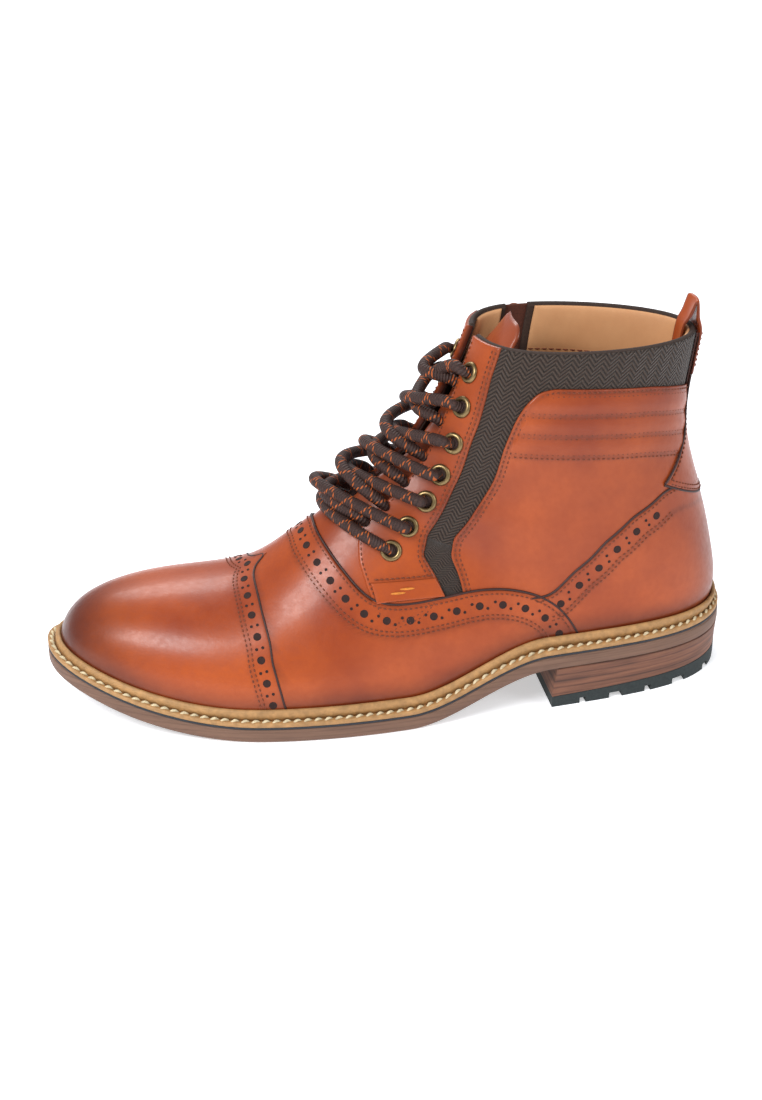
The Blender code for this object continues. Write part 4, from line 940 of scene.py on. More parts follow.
TWEED = tweed("herringbone_tweed")
TAN_LINING = leather("tan_lining", (0.66, 0.35, 0.165), (0.56, 0.27, 0.12), (0.16, 0.06, 0.02),
                     0.62, 0.0)
TONGUE_LEATHER = leather("tongue_leather", (0.36, 0.075, 0.022), (0.27, 0.050, 0.014), DARK_DYE_AND_SHADE,
                         0.38, 0.25)
DARK_LINING = plain("dark_lining", (0.055, 0.028, 0.018), 0.9, scale=900.0)
BINDING = plain("collar_binding", (0.050, 0.030, 0.022), 0.85, scale=900.0, strength=0.4)
# Near black cord colour: painted shadow along each step between leather pieces
SEAM_SHADOW = plain("dark_piping", (0.045, 0.012, 0.008), 0.55)
THREAD = plain("brown_thread", (0.20, 0.045, 0.014), 0.75)
CREAM_THREAD = plain("cream_thread", (0.78, 0.66, 0.42), 0.8)
TACK_THREAD = plain("orange_thread", (0.80, 0.27, 0.03), 0.7)
# Near black: painted shade for the depth of the brogue holes and the eyelet bores
HOLE_SHADE = plain("hole_in_leather", (0.030, 0.010, 0.007), 0.9)
WELT_TAN = plain("welt_tan", (0.50, 0.27, 0.10), 0.6, scale=350.0)
SLATE_LINE = plain("midsole_line", (0.030, 0.034, 0.042), 0.7)
SLAB_BROWN = stacked("sole_slab", (0.19, 0.100, 0.062), (0.12, 0.060, 0.037), 2.4 * MM)
HEEL_BROWN = stacked("stacked_heel", (0.23, 0.088, 0.045), (0.065, 0.024, 0.014), 3.1 * MM)
RUBBER = plain("heel_rubber", (0.026, 0.036, 0.036), 0.8, scale=900.0)
OLD_BRASS = plain("antique_brass", (0.32, 0.225, 0.105), 0.36, 0.95, scale=300.0)
DARK_NICKEL = plain("dark_nickel", (0.33, 0.32, 0.31), 0.30, 0.95, scale=300.0)
ZIP_CLOTH = plain("zip_cloth", (0.12, 0.032, 0.016), 0.9, scale=1200.0, strength=0.5)
ZIP_COIL = plain("zip_coil", (0.30, 0.105, 0.050), 0.5)
print("materials:", len(bpy.data.materials))

# %% [markdown]
# ## The upper's body
# Under every overlay lies one thin shell: tweed outside, lining inside. It runs from the throat
# round to the back seam on each side, and it is left open along the zip. The tweed's UV map is
# its real length in millimetres round the boot and down it, so the pattern has one scale.

# %% Upper body
COLLAR_STATION = 0.05
STRIP_START = 2.0
UPPER_WALL = 2.2 * MM
ZIP_OPENING = 10.5 * MM
TWEED_LIFT, TWEED_BACK = 0.35 * MM, -1.1 * MM
LINING_LIFT = -1.2 * MM
BODY_FOOT = 0.4 * MM
THROAT_END = 8.8
BODY_STATIONS = np.concatenate([np.linspace(COLLAR_STATION, 9.0, 110),
                                np.linspace(9.1, 15.6, 50)])


def wall(name, station, turn, high, low, finish, uv=None, shade=None):
    """A closed shell between two lifts over the same stations and turns."""
    station, turn = np.broadcast_arrays(station, turn)
    return closed_sheet(name, on_skin(station, turn, high), on_skin(station, turn, low), finish,
                        uv, shade)


def cloth_uv(station, turn):
    """Millimetres round the boot from the lace stay's rear edge, and down it.

    Below the collar band the rows keep one height each, so the yarns follow the strip."""
    point = on_skin(station, turn)
    across = np.linalg.norm(np.diff(point, axis=1), axis=-1)
    down = np.linalg.norm(np.diff(point, axis=0), axis=-1)
    u = np.pad(np.cumsum(across, axis=1), ((0, 0), (1, 0)))
    v = np.pad(np.cumsum(down, axis=0), ((1, 0), (0, 0)))
    place = np.array([np.interp(angle_at(STAY_REAR, min(row[0], 7.4)), np.abs(angles), lengths)
                      for row, angles, lengths in zip(station, turn, u)])
    band = station[:, 0] <= STRIP_START
    level = v[:, int(0.25 * v.shape[1])]
    last = max(int(band.sum()) - 1, 0)
    v = np.where(band[:, None], v, level[:, None] + v[last] - level[last])
    return (u - place[:, None]) / MM, v / MM


def turn_for_width(station, angle, side, width):
    """How much angle a width in metres takes there."""
    step = on_skin(station, side * (angle + SMALL)) - on_skin(station, side * (angle - SMALL))
    return width * 2 * SMALL / np.linalg.norm(step, axis=-1)


def throat_angle(station):
    return np.where(station < THROAT_END, angle_at(THROAT_EDGE, station), 0.0)


def beside_zip(station, side_of_zip, gap=0.4 * MM):
    """The angle at a gap from the zip's opening, before it (-1) or behind it (1)."""
    middle = angle_at(ZIP_LINE, station)
    return middle + side_of_zip * turn_for_width(station, middle, INNER, ZIP_OPENING / 2 + gap)


def body_part(name, side, rows, start, end, columns, *nodes):
    """Tweed outside and lining inside, between two angles for each row."""
    turn = side * (start[:, None] + np.linspace(0, 1, columns) * (end - start)[:, None])
    station = np.repeat(rows[:, None], columns, axis=1)
    dress(wall(name, station, turn, TWEED_LIFT, TWEED_BACK, TWEED, cloth_uv(station, turn)),
          "boot", "tweed", *nodes)
    dress(wall(name + "_lining", station, turn, LINING_LIFT, -UPPER_WALL, DARK_LINING),
          "boot", "lining")


whole = BODY_STATIONS
above = whole[whole < ZIP_FOOT_STATION]
below = np.concatenate([above[-1:], whole[whole >= ZIP_FOOT_STATION]])
body_part("upper_outer", OUTER, whole, throat_angle(whole), sole_angle(whole, OUTER, BODY_FOOT),
          110, "upper", "cuff_outer")
body_part("upper_inner_front", INNER, above, throat_angle(above), beside_zip(above, -1, 0.0), 50,
          "cuff_strip_inner")
body_part("upper_inner_rear", INNER, above, beside_zip(above, 1, 0.0),
          sole_angle(above, INNER, BODY_FOOT), 70, "cuff_band_inner")
body_part("upper_inner_toe", INNER, below, throat_angle(below),
          sole_angle(below, INNER, BODY_FOOT), 90)

# %% [markdown]
# The cuff is padded: tan leather over foam that swells inwards and ends in a stitched hem. The
# collar's raw edge is covered by a rolled binding, a tube along the top of the wall.

# %% Padded cuff lining and collar binding
CUFF_TOP, CUFF_END = COLLAR_STATION + 0.03, 1.6
CUFF_PAD, CUFF_THICKNESS, CUFF_OVERLAP = 1.5 * MM, 0.5 * MM, 0.05 * MM
CUFF_ZIP_GAP = 2.75 * MM
HEM_SHIFT, HEM_PITCH, HEM_DEPTH = 0.12, 3.0 * MM, 0.9 * MM
HEM_ROWS = []
BINDING_RADIUS, BINDING_DEPTH, BINDING_FRONT = 1.0 * MM, -0.85 * MM, 0.20


def cuff_lining(name, side, start, end, columns=70):
    """The pad swells at once below the collar and thins out to its hem and its two ends."""
    share = np.linspace(0, 1, columns)[None, :]
    rows = np.linspace(CUFF_TOP, CUFF_END, 28)
    station = np.repeat(rows[:, None], columns, axis=1)
    turn = side * (start(rows)[:, None] + share * (end(rows) - start(rows))[:, None])
    down = (station - rows[0]) / (rows[-1] - rows[0])
    swell = np.sin(np.pi * np.clip(down * 1.1, 0, 1) ** 0.7) ** 0.6
    swell = swell * np.clip(np.minimum(share, 1 - share) * 14, 0, 1) ** 0.5
    dress(wall(name, station, turn, CUFF_OVERLAP - UPPER_WALL,
               -UPPER_WALL - CUFF_THICKNESS - CUFF_PAD * swell, TAN_LINING, shade=0.0),
          "boot", "lining")
    hem = np.linspace(side * start(rows[-1:])[0], side * end(rows[-1:])[0], 160)
    here, ahead, out = along_line((np.full(160, CUFF_END - HEM_SHIFT), hem), HEM_PITCH,
                                  -UPPER_WALL - HEM_DEPTH)
    HEM_ROWS.append((here, ahead, -out))


def back_seam(station):
    return np.full_like(station, np.pi)


cuff_lining("cuff_lining_outer", OUTER, lambda s: angle_at(THROAT_EDGE, s) + 0.5, back_seam)
cuff_lining("cuff_lining_inner", INNER, lambda s: beside_zip(s, 1, CUFF_ZIP_GAP), back_seam)
cuff_lining("cuff_lining_front", INNER, lambda s: angle_at(THROAT_EDGE, s) + 0.35,
            lambda s: beside_zip(s, -1, CUFF_ZIP_GAP))


def tube(name, path, radius, finish, sides):
    """A circle carried along a path, its frame turned as little as possible, ends closed."""
    tangent = unit(np.gradient(path, axis=0))
    radius = np.broadcast_to(radius, len(path))
    normal = np.empty_like(path)
    first = np.cross(tangent[0], (0.0, 0.0, 1.0))
    if np.linalg.norm(first) < 0.1:
        first = np.cross(tangent[0], (0.0, 1.0, 0.0))
    normal[0] = first / np.linalg.norm(first)
    for k in range(1, len(path)):
        step = normal[k - 1] - tangent[k] * (normal[k - 1] @ tangent[k])
        normal[k] = step / np.linalg.norm(step)
    across = np.cross(tangent, normal)
    angle = np.linspace(0, 2 * np.pi, sides, endpoint=False)[None, :, None]
    ring = path[:, None] + radius[:, None, None] * (normal[:, None] * np.cos(angle)
                                                    + across[:, None] * np.sin(angle))
    index = np.arange(len(path) * sides).reshape(-1, sides)
    faces = quads_of(wrap(index, 1))[:, ::-1].tolist()
    faces += [index[0].tolist(), index[-1][::-1].tolist()]
    return new_mesh(name, ring.reshape(-1, 3), faces, finish)


def binding(name, side, start, end):
    path = on_skin(COLLAR_STATION, side * np.linspace(start, end, 150), BINDING_DEPTH)
    dress(tube(name, path, BINDING_RADIUS, BINDING, 12), "boot", "leather")


zip_top = float(angle_at(ZIP_LINE, 0.0))
zip_reach = float(turn_for_width(np.array(0.1), np.array(zip_top), INNER, ZIP_OPENING / 2))
binding("binding_outer", OUTER, BINDING_FRONT, np.pi)
binding("binding_inner", INNER, zip_top + zip_reach, np.pi)
binding("binding_front", INNER, BINDING_FRONT, zip_top - zip_reach)

# %% [markdown]
# ## Overlays
# The leather pieces go on in the order a closing room sews them: quarter, lace stays, vamp,
# counter, back strip and toe cap. Each is a route over the skin between two seams, lifted a
# little higher than the piece below, so the steps between layers are real and catch light.
# The quarter's top has padded bands: cushions between rows of double stitches.

# %% Quarter panels
QUARTER_LIFT = 1.35 * MM
STAY_LIFT = 1.5 * MM
VAMP_LIFT = 1.75 * MM
CAP_LIFT = 2.15 * MM
STRIP_LIFT = 2.1 * MM
COUNTER_LIFT = 1.7 * MM
BAND_GAP, BAND_COUNT = 8.8 * MM, 3
EDGE_STITCH = 2.4 * MM
EDGE_INSET = 1.3 * MM
PAD_HEIGHT = 0.75 * MM
PAD_STITCH_LIFT = QUARTER_LIFT + 0.05 * MM


def mirrored(line, side):
    return line[0], line[1] * side


band_top = seam([row for row in BAND_EDGE if row[0] < 1.7 and row[1] > 0.45], 200, 3)
front_turn = np.linspace(0.25 * np.pi, band_top[1][0], 60, endpoint=False)
long_top = (np.concatenate([np.full(60, band_top[0][0]), band_top[0]]),
            np.concatenate([front_turn, band_top[1]]))


def pad_lines(side, front_angle):
    """The stitched lines between the padded bands, kept behind the panel's front edge."""
    rows = []
    for number in range(1, BAND_COUNT + 1):
        row = shifted(mirrored(long_top, side), -side * (EDGE_STITCH + BAND_GAP * number))
        keep = np.abs(row[1]) > front_angle(row[0])
        rows.append((row[0][keep], row[1][keep]))
    return rows


def pad_relief(side, lines):
    """Cushions between the lines: highest halfway from one line to the next."""
    first = shifted(mirrored(long_top, side), -side * EDGE_STITCH)
    marks = [on_skin(*line)[::3] for line in (first, *lines)]

    def relief(station, turn):
        point = on_skin(station, turn).reshape(-1, 3)
        gaps = [nearest(point, mark) for mark in marks]
        inside = np.zeros(len(point))
        for upper, lower in zip(gaps[:-1], gaps[1:]):
            share = np.clip(np.minimum(upper, lower) / (BAND_GAP / 2), 0, 1)
            inside = np.where(upper + lower < BAND_GAP * 1.10, np.sqrt(share), inside)
        return (PAD_HEIGHT * inside).reshape(station.shape)

    return relief


def front_of_outer(station):
    rows = np.array([row for row in BAND_EDGE if row[1] < 0.456])[::-1]
    angle = np.interp(station, rows[:, 0], rows[:, 1]) * np.pi
    return angle + turn_for_width(station, angle, OUTER, 3.8 * MM)


def behind_zip(station):
    return beside_zip(station, 1, 1.2 * MM)


outer_pads = pad_lines(OUTER, front_of_outer)
band_edge = seam(BAND_EDGE, 300, 5)
leather_piece("quarter_outer", between_lines([band_edge, seam(QUARTER_FOOT, 300)]), TWEED_LIFT,
              QUARTER_LIFT, shades_by(*outer_pads, shifted(band_edge, -EDGE_INSET),
                                      width=1.3 * MM),
              step=1.2 * MM, relief=pad_relief(OUTER, outer_pads))
stitch(band_edge, -EDGE_INSET - TWIN, QUARTER_LIFT, True)
for line in outer_pads:
    stitch(line, 0.0, PAD_STITCH_LIFT, True, 0.0, 0.0)

# The inner side has two leather pieces: a wedge before the zip and a panel behind it
STRIP_REAR = ((0.02, 0.330), (1.0, 0.320), (2.4, 0.325), (4.8, 0.300), (7.2, 0.288),
              (8.6, 0.335), (9.3, 0.385))
wedge_rows = np.linspace(0.06, 9.05, 240)
wedge_front = (wedge_rows, -np.minimum(angle_at(STRIP_REAR, wedge_rows),
                                       beside_zip(wedge_rows, -1) - 0.035))
wedge_rear = (wedge_rows, -beside_zip(wedge_rows, -1))
leather_piece("zip_wedge", between_lines([wedge_front, wedge_rear]), TWEED_LIFT, QUARTER_LIFT,
              shades_by(wedge_front, width=1.2 * MM), "tb")
stitch(wedge_front, EDGE_INSET, QUARTER_LIFT, True, 1 * MM, 4 * MM)
stitch(wedge_rear, -EDGE_INSET, QUARTER_LIFT, False, 1 * MM, 4 * MM)

inner_pads = pad_lines(INNER, behind_zip)
panel_rows = np.linspace(9.1, 1.14, 200)
top_angle = np.linspace(behind_zip(panel_rows[-1:])[0], np.pi, 160)
top_station = np.interp(top_angle, long_top[1], long_top[0])
panel_edge = (np.concatenate([panel_rows, top_station[1:]]),
              -np.concatenate([behind_zip(panel_rows), top_angle[1:]]))
foot_rows = np.linspace(9.2, 5.6, 300)
foot_angle = np.interp(foot_rows, [5.6, 9.2], [np.pi, 1.75])
panel_foot = (foot_rows, -np.minimum(sole_angle(foot_rows, INNER, 1 * MM), foot_angle))
leather_piece("quarter_inner", between_lines([panel_edge, panel_foot]), TWEED_LIFT, QUARTER_LIFT,
              shades_by(*inner_pads, panel_edge, width=1.3 * MM),
              step=1.2 * MM, relief=pad_relief(INNER, inner_pads))
stitch(panel_edge, EDGE_INSET, QUARTER_LIFT, True, 6 * MM)
for line in inner_pads:
    stitch(line, 0.0, PAD_STITCH_LIFT, True, 0.0, 0.0)

# %% [markdown]
# ## Lace stays
# The stays carry the eyelets. They are the thickest leather beside the throat, so they start
# under the wall and stand over the tweed. A base piece closes the throat's lower end.

# %% Lace stays
STAY_FRONT = ((0.06, 0.055), (1.0, 0.058), (2.0, 0.089), (3.0, 0.119), (4.5, 0.127),
              (6.0, 0.131), (7.2, 0.128), (8.0, 0.126), (8.5, 0.15), (9.0, 0.185), (9.5, 0.24),
              (10.1, 0.32))
STAY_BACK = STAY_REAR[:-1] + ((9.6, 0.37), (10.2, 0.36))
base_share = np.linspace(-1, 1, 81)
base_edge = (8.42 - 0.6 * base_share ** 2, 0.62 * base_share)
base_foot = (np.full(81, 10.3), 0.95 * base_share)
leather_piece("throat_base", between_lines([base_edge, base_foot]), TWEED_LIFT,
              TWEED_LIFT + 0.5 * MM, shades_by(base_edge), step=1.1 * MM)
SIDES = ((OUTER, "outer"), (INNER, "inner"))
for side, side_name in SIDES:
    front = mirrored(seam(STAY_FRONT, smooth=5), side)
    rear = mirrored(seam(STAY_BACK, smooth=5), side)
    leather_piece(f"eyestay_{side_name}", between_lines([front, rear]), LINING_LIFT, STAY_LIFT,
                  shades_by(shifted(rear, -side * EDGE_INSET), width=1.4 * MM), "tbl",
                  nodes=(f"eyestay_{side_name}",))
    stitch(rear, -side * (EDGE_INSET + TWIN), STAY_LIFT, True)
    stitch(front, side * 1.5 * MM, STAY_LIFT)

# %% [markdown]
# ## Vamp and toe cap
# The vamp runs from its winged seam to under the toe cap. Its lines are blended from one seam
# to the other and stretched so that each still ends on the sole. The cap's seam has a small
# peak on the ridge of the foot, and its lines open out from there to the tip of the toe.

# %% Vamp and toe cap
FOOT_LIFT = 0.6 * MM
HALVES = ((INNER, slice(0, 201), 0), (OUTER, slice(200, 401), 400))
AWAY = np.abs(np.linspace(-1, 1, 401))
WING_HOLES, WING_STITCH = -6.4 * MM, -11.6 * MM
CAP_HOLES, CAP_STITCH = -4.4 * MM, -8.7 * MM
PEAK_LENGTH, PEAK_WIDTH = 5.0 * MM, 4.2 * MM


def blended(first, second, count):
    """Lines from one seam to another, each stretched so that it still ends on the sole."""
    first, second = resampled(first, 401), resampled(second, 401)
    lines = []
    for share in np.linspace(0, 1, count):
        station = first[0] + (second[0] - first[0]) * share
        turn = first[1] + (second[1] - first[1]) * share
        for side, half, end in HALVES:
            reach = sole_angle(station[end], side, FOOT_LIFT) / abs(turn[end])
            turn[half] = turn[half] * (1 + AWAY[half] ** 2 * (reach - 1))
        lines.append((station, turn))
    return lines


cap_under = shifted(cap_line, -9 * MM)
leather_piece("vamp", between_lines(blended(wing_line, cap_under, 14)), TWEED_LIFT, VAMP_LIFT,
              shades_by(wing_line, shifted(wing_line, WING_STITCH - 0.9 * MM),
                        shifted(cap_line, 0.6 * MM), width=1.7 * MM),
              step=1.3 * MM, nodes=("vamp",))
stitch(wing_line, -1.7 * MM, VAMP_LIFT)
punch(wing_line, WING_HOLES, VAMP_LIFT, 3 * MM, 3 * MM)
stitch(wing_line, WING_STITCH, VAMP_LIFT, True, 3 * MM, 3 * MM)

even_cap = resampled(cap_line, 1601)
ridge_station = float(even_cap[0][800])
ridge_gap = np.abs(on_skin(*even_cap)[:, 1] - on_skin(ridge_station, 0.0)[1])
peak = np.clip(1 - ridge_gap / PEAK_WIDTH, 0, 1) ** 1.4
near_ridge = on_skin(np.array([ridge_station - 0.5, ridge_station]), np.zeros(2))
peak_stations = PEAK_LENGTH / (length_of(near_ridge) / 0.5)
peak_line = (even_cap[0] - peak * peak_stations, even_cap[1])
last_row = seam_end(TOE_TIP, 0.0, 1.0 * MM)
ridge = np.linspace(ridge_station, last_row, 400)
ridge_place = lengths_along(on_skin(ridge, np.zeros(400)))
coarse_peak = tuple(part[::4] for part in peak_line)
cap_rows = []
for share in np.linspace(0, 1, 60):
    middle = np.interp(share * ridge_place[-1], ridge_place, ridge)
    grow = (middle - ridge[0]) / (ridge[-1] - ridge[0])
    station = coarse_peak[0] + (last_row - coarse_peak[0]) * grow
    turn = np.empty(401)
    for side, half, end in HALVES:
        reach = float(sole_angle(station[end], side, FOOT_LIFT))
        shape = coarse_peak[1][half] / coarse_peak[1][end]
        turn[half] = side * reach * (shape + (AWAY[half] - shape) * grow)
    cap_rows.append((station, turn))
leather_piece("toe_cap", between_lines(cap_rows), VAMP_LIFT - 0.3 * MM, CAP_LIFT,
              shades_by(peak_line, shifted(cap_line, CAP_STITCH), width=1.7 * MM),
              step=1.1 * MM, nodes=("toe_cap",))
punch(cap_line, CAP_HOLES, CAP_LIFT, 4 * MM, 4 * MM)
stitch(cap_line, CAP_STITCH, CAP_LIFT, True, 3 * MM, 3 * MM)

# %% [markdown]
# ## Counter and back strip
# The counter wraps the heel from one side of the vamp to the other. The back strip covers the
# back seam and widens into a foot with two points, sewn on last.

# %% Counter and back strip
COUNTER_HOLES, COUNTER_STITCH = 5.6 * MM, 10.2 * MM
COUNTER_END_STATION = 8.9
feet = []
for side in (OUTER, INNER):
    station, angle = feather_line(side, FOOT_LIFT, 500)
    behind = station < COUNTER_END_STATION
    feet.append((station[behind], angle[behind]))
(outer_foot, outer_angle), (inner_foot, inner_angle) = feet
counter_foot = (np.concatenate([outer_foot[::-1], inner_foot[1:]]),
                np.concatenate([outer_angle[::-1], 2 * np.pi - inner_angle[1:]]))
leather_piece("counter", between_lines([counter_line, counter_foot]), QUARTER_LIFT - 0.7 * MM,
              COUNTER_LIFT, shades_by(counter_line, shifted(counter_line, -10 * MM),
                                      width=1.6 * MM), step=1.2 * MM, nodes=("counter",))
stitch(counter_line, -1.4 * MM, COUNTER_LIFT)
half_counter = seam(COUNTER_TOP[:7])
for side in (OUTER, INNER):
    line = mirrored(half_counter, side)
    punch(line, -side * COUNTER_HOLES, COUNTER_LIFT, 8 * MM, 4 * MM)
    stitch(line, -side * COUNTER_STITCH, COUNTER_LIFT, True, 9 * MM, 3 * MM)

strip_edge = resampled(seam(STAY_END, 200, 5), 120)
strip_rows = []
for share in np.linspace(0, 1, 30):
    edge_station, edge_angle = (np.interp(share * 119, np.arange(120), part)
                                for part in strip_edge)
    middle = 0.1 + 4.4 * share
    strip_rows.append((middle + (edge_station - middle) * AWAY ** 2,
                       np.linspace(edge_angle, 2 * np.pi - edge_angle, 401)))
leather_piece("back_strip", between_lines(strip_rows), QUARTER_LIFT - 0.5 * MM, STRIP_LIFT,
              shades_by(), "tblr", 0.9 * MM, nodes=("backstay",))
for side in (OUTER, INNER):
    stitch(mirrored(strip_edge, side), side * 1.4 * MM, STRIP_LIFT, False, 2 * MM, 3 * MM)
stitch(strip_rows[-1], 1.6 * MM, STRIP_LIFT, True, 3 * MM, 3 * MM)
print("stitch rows:", len(STITCH_ROWS))

# %% [markdown]
# ## Painted seam shadows
# A thin dark cord is rolled into each raised edge, in the angle where one piece of leather
# meets the next. Its near black colour is painted shadow: it draws the dark seam lines along each
# step.

# %% Painted seam shadow: dark cords along the raised edges
SEAM_SHADOW_RADIUS = 0.5 * MM


# Each cord is a painted shadow line in the angle beside a seam
def piping(name, line, distance, lift):
    moved = shifted(line, distance)
    dress(tube(name, on_skin(*moved, lift), SEAM_SHADOW_RADIUS, SEAM_SHADOW, 8), "boot", "leather")


piping("wing_seam_shadow", wing_line, 0.35 * MM, QUARTER_LIFT + 0.25 * MM)
piping("cap_seam_shadow", coarse_peak, 0.0, VAMP_LIFT + 0.05 * MM)
piping("counter_seam_shadow", counter_line, 0.35 * MM, QUARTER_LIFT + 0.1 * MM)
for side, side_name in SIDES:
    piping(f"strip_seam_shadow_{side_name}", mirrored(strip_edge, side), -side * 0.3 * MM,
           QUARTER_LIFT + 0.7 * MM)
piping("strip_foot_seam_shadow", strip_rows[-1], -0.35 * MM, QUARTER_LIFT + 0.25 * MM)

# %% [markdown]
# ## Tongue, patches and loop
# The tongue lies under the throat and its top leans back out of the collar. It is a wall
# between two grids whose depth under the skin grows near the top.

# %% Tongue
TONGUE_EDGE = ((-0.7, 0.20), (1.0, 0.21), (3.0, 0.24), (6.0, 0.25), (8.4, 0.24), (9.2, 0.18))
TONGUE_LEAN, TONGUE_LEAN_STATIONS = 9.0 * MM, 2.4
TONGUE_DEPTH = UPPER_WALL + 2.2 * MM
tongue_rows = np.linspace(-0.7, 9.2, 90)[:, None]
share = np.linspace(-1, 1, 50)[None, :]
turn = angle_at(TONGUE_EDGE, tongue_rows) * share
station = tongue_rows + 0.45 * share ** 4 * (tongue_rows < 0.4)
lean = 1 - smoothstep((station - tongue_rows[0]) / TONGUE_LEAN_STATIONS)
depth = TONGUE_DEPTH + TONGUE_LEAN * lean
side_roll = np.clip((1 - np.abs(share)) * 9, 0, 1) ** 0.5
top_roll = np.clip((tongue_rows - tongue_rows[0]) / 0.25, 0, 1) ** 0.5
thin = 1 - np.minimum(side_roll, top_roll)
dress(closed_sheet("tongue", on_skin(station, turn, -depth - 1.2 * MM * thin),
                   on_skin(station, turn, -depth - 2.4 * MM + 1.1 * MM * thin),
                   TONGUE_LEATHER, shade=0.5 * thin.ravel()), "boot", "leather", "tongue")

# %% [markdown]
# The patches that close the foot of each lace stay are small pieces with two bar tacks each,
# which are thick orange threads across the seam that takes the most pull.

# %% Stay patches and their bar tacks
PATCH_LIFT = STAY_LIFT + 0.75 * MM
TACK_PITCH = 20 * MM
TACK_PLACES = ((-0.75 * MM, 5 * MM, 13 * MM), (0.75 * MM, 9 * MM, 9 * MM))
tacks = []
for side, side_name in SIDES:
    upper_edge = (np.linspace(9.36, 8.36, 60), side * np.linspace(0.75, 0.93, 60))
    lower_edge = (np.linspace(9.78, 8.74, 60), side * np.linspace(0.90, 1.06, 60))
    leather_piece(f"stay_patch_{side_name}", between_lines([upper_edge, lower_edge], 60),
                  STAY_LIFT - 0.2 * MM, PATCH_LIFT, shades_by(upper_edge, width=1.0 * MM),
                  "tblr", 0.8 * MM)
    stitch(upper_edge, side * 1.2 * MM, PATCH_LIFT, False, 1.5 * MM, 1.5 * MM)
    middle_line = tuple((high + low) / 2 for high, low in zip(upper_edge, lower_edge))
    for shift, start, end in TACK_PLACES:
        tacks.append(along_line(shifted(middle_line, shift), TACK_PITCH, PATCH_LIFT, start, end))

# %% [markdown]
# The pull loop is a strip of leather folded over the back of the collar. A table holds its two
# faces from the outer end over the fold to the inner end, and a spline runs through its rows.

# %% Pull loop
LOOP_LOW, LOOP_HIGH = STRIP_LIFT - 0.3 * MM, STRIP_LIFT + 0.9 * MM
LOOP_IN, LOOP_DEEP = -UPPER_WALL - 2.3 * MM, -UPPER_WALL - 3.4 * MM
LOOP_SPREAD, LOOP_STITCH = 0.20, 0.15
LOOP_TABLE = (
    (1.3, LOOP_LOW, 1.3, LOOP_HIGH), (0.6, LOOP_LOW, 0.6, LOOP_HIGH),
    (0.05, LOOP_LOW, 0.05, LOOP_HIGH), (-0.25, -0.2 * MM, -0.27, 1.4 * MM),
    (-0.50, -0.9 * MM, -0.55, 0.4 * MM), (-0.65, -1.15 * MM, -0.79, -0.5 * MM),
    (-0.68, -1.35 * MM, -0.83, -1.35 * MM), (-0.65, -1.55 * MM, -0.79, -2.2 * MM),
    (-0.50, -1.8 * MM, -0.55, -3.1 * MM), (-0.25, -2.9 * MM, -0.27, -4.2 * MM),
    (0.05, LOOP_IN, 0.05, LOOP_DEEP), (0.8, LOOP_IN, 0.8, LOOP_DEEP),
)


def folded_strip(name, table, spread, columns, finish):
    """A folded strip: the table holds the stations and lifts of its inner and outer face."""
    rows = np.array(table)
    fine = np.linspace(0, len(rows) - 1, 60)
    curves = [natural_spline(rows[:, k])(fine)[:, None] for k in range(4)]
    across = np.linspace(-spread, spread, columns)[None, :]
    outside = on_skin(curves[2], np.pi + across, curves[3])
    inside = on_skin(curves[0], np.pi + across, curves[1])
    away = np.clip((1 - np.abs(across / spread)) * columns / 3, 0, 1) ** 0.5
    middle = (outside + inside) / 2
    full = (0.45 + 0.55 * away)[..., None]
    outside, inside = middle + (outside - middle) * full, middle + (inside - middle) * full
    shade = 0.8 * np.repeat(1 - away, 60, axis=0).ravel()
    return closed_sheet(name, outside, inside, finish, shade=shade)


dress(folded_strip("pull_loop", LOOP_TABLE, LOOP_SPREAD, 16, COGNAC), "boot", "leather",
      "pull_loop")
for offset in (-LOOP_STITCH, LOOP_STITCH):
    stitch((np.linspace(0.05, 1.15, 60), np.full(60, np.pi + offset)), 0.0, LOOP_HIGH, False,
           0.0, 0.0)

# %% [markdown]
# Now that every row is known, each kind of thread and hole becomes one mesh of many copies.

# %% Threads and holes as meshes
rows = gathered(STITCH_ROWS)
thread = stitch_shape(1.75 * MM, 0.62 * MM)
dress(copies("upper_stitches", thread, *rows, THREAD), "boot", "leather")
print("stitches on the upper:", len(rows[0]))
hem_thread = stitch_shape(2.3 * MM, 0.7 * MM)
dress(copies("hem_stitches", hem_thread, *gathered(HEM_ROWS), THREAD), "boot", "lining")
for radius, spots in HOLE_SPOTS.items():
    spots = gathered(spots)
    dress(copies(f"holes_{radius / MM:.2f}", hole_shape(radius), *spots, HOLE_SHADE),
          "boot", "leather")
    print("holes:", len(spots[0]), "of radius", radius / MM)
tack_thread = stitch_shape(7.5 * MM, 1.1 * MM)
dress(copies("bar_tacks", tack_thread, *gathered(tacks), TACK_THREAD), "boot", "leather")

# %% [markdown]
# ## Sole
# Welt, midsole, slab, heel and lift are bands carried round the outline of the foot. One
# helper takes a list of rings, each a closed line round the boot, and joins neighbours; two
# caps of rungs across the sole close it. The outline is where the last meets the sole, moved
# outwards in plan, so every layer keeps the same overhang all the way round.

# %% Rings round the sole
RING_POINTS = 560


def even_ring(points, count=RING_POINTS):
    closed = np.concatenate([points, points[:1]])
    place = lengths_along(closed)
    even = np.linspace(0, place[-1], count, endpoint=False)
    return np.stack([np.interp(even, place, closed[:, k]) for k in range(closed.shape[1])],
                    axis=-1)


def skin_ring(up, lift):
    """A line round the upper at a height over the midsole, moved out of the skin by a lift."""
    outer = feather_line(OUTER, up, 260)
    inner = feather_line(INNER, up, 260)
    ring = even_ring(np.concatenate([on_skin(outer[0], outer[1], lift),
                                     on_skin(inner[0], -inner[1], lift)[-2:0:-1]]))
    ring[:, 2] = midsole_top(ring[:, 0] + FRAME_SHIFT[0]) + up
    return ring


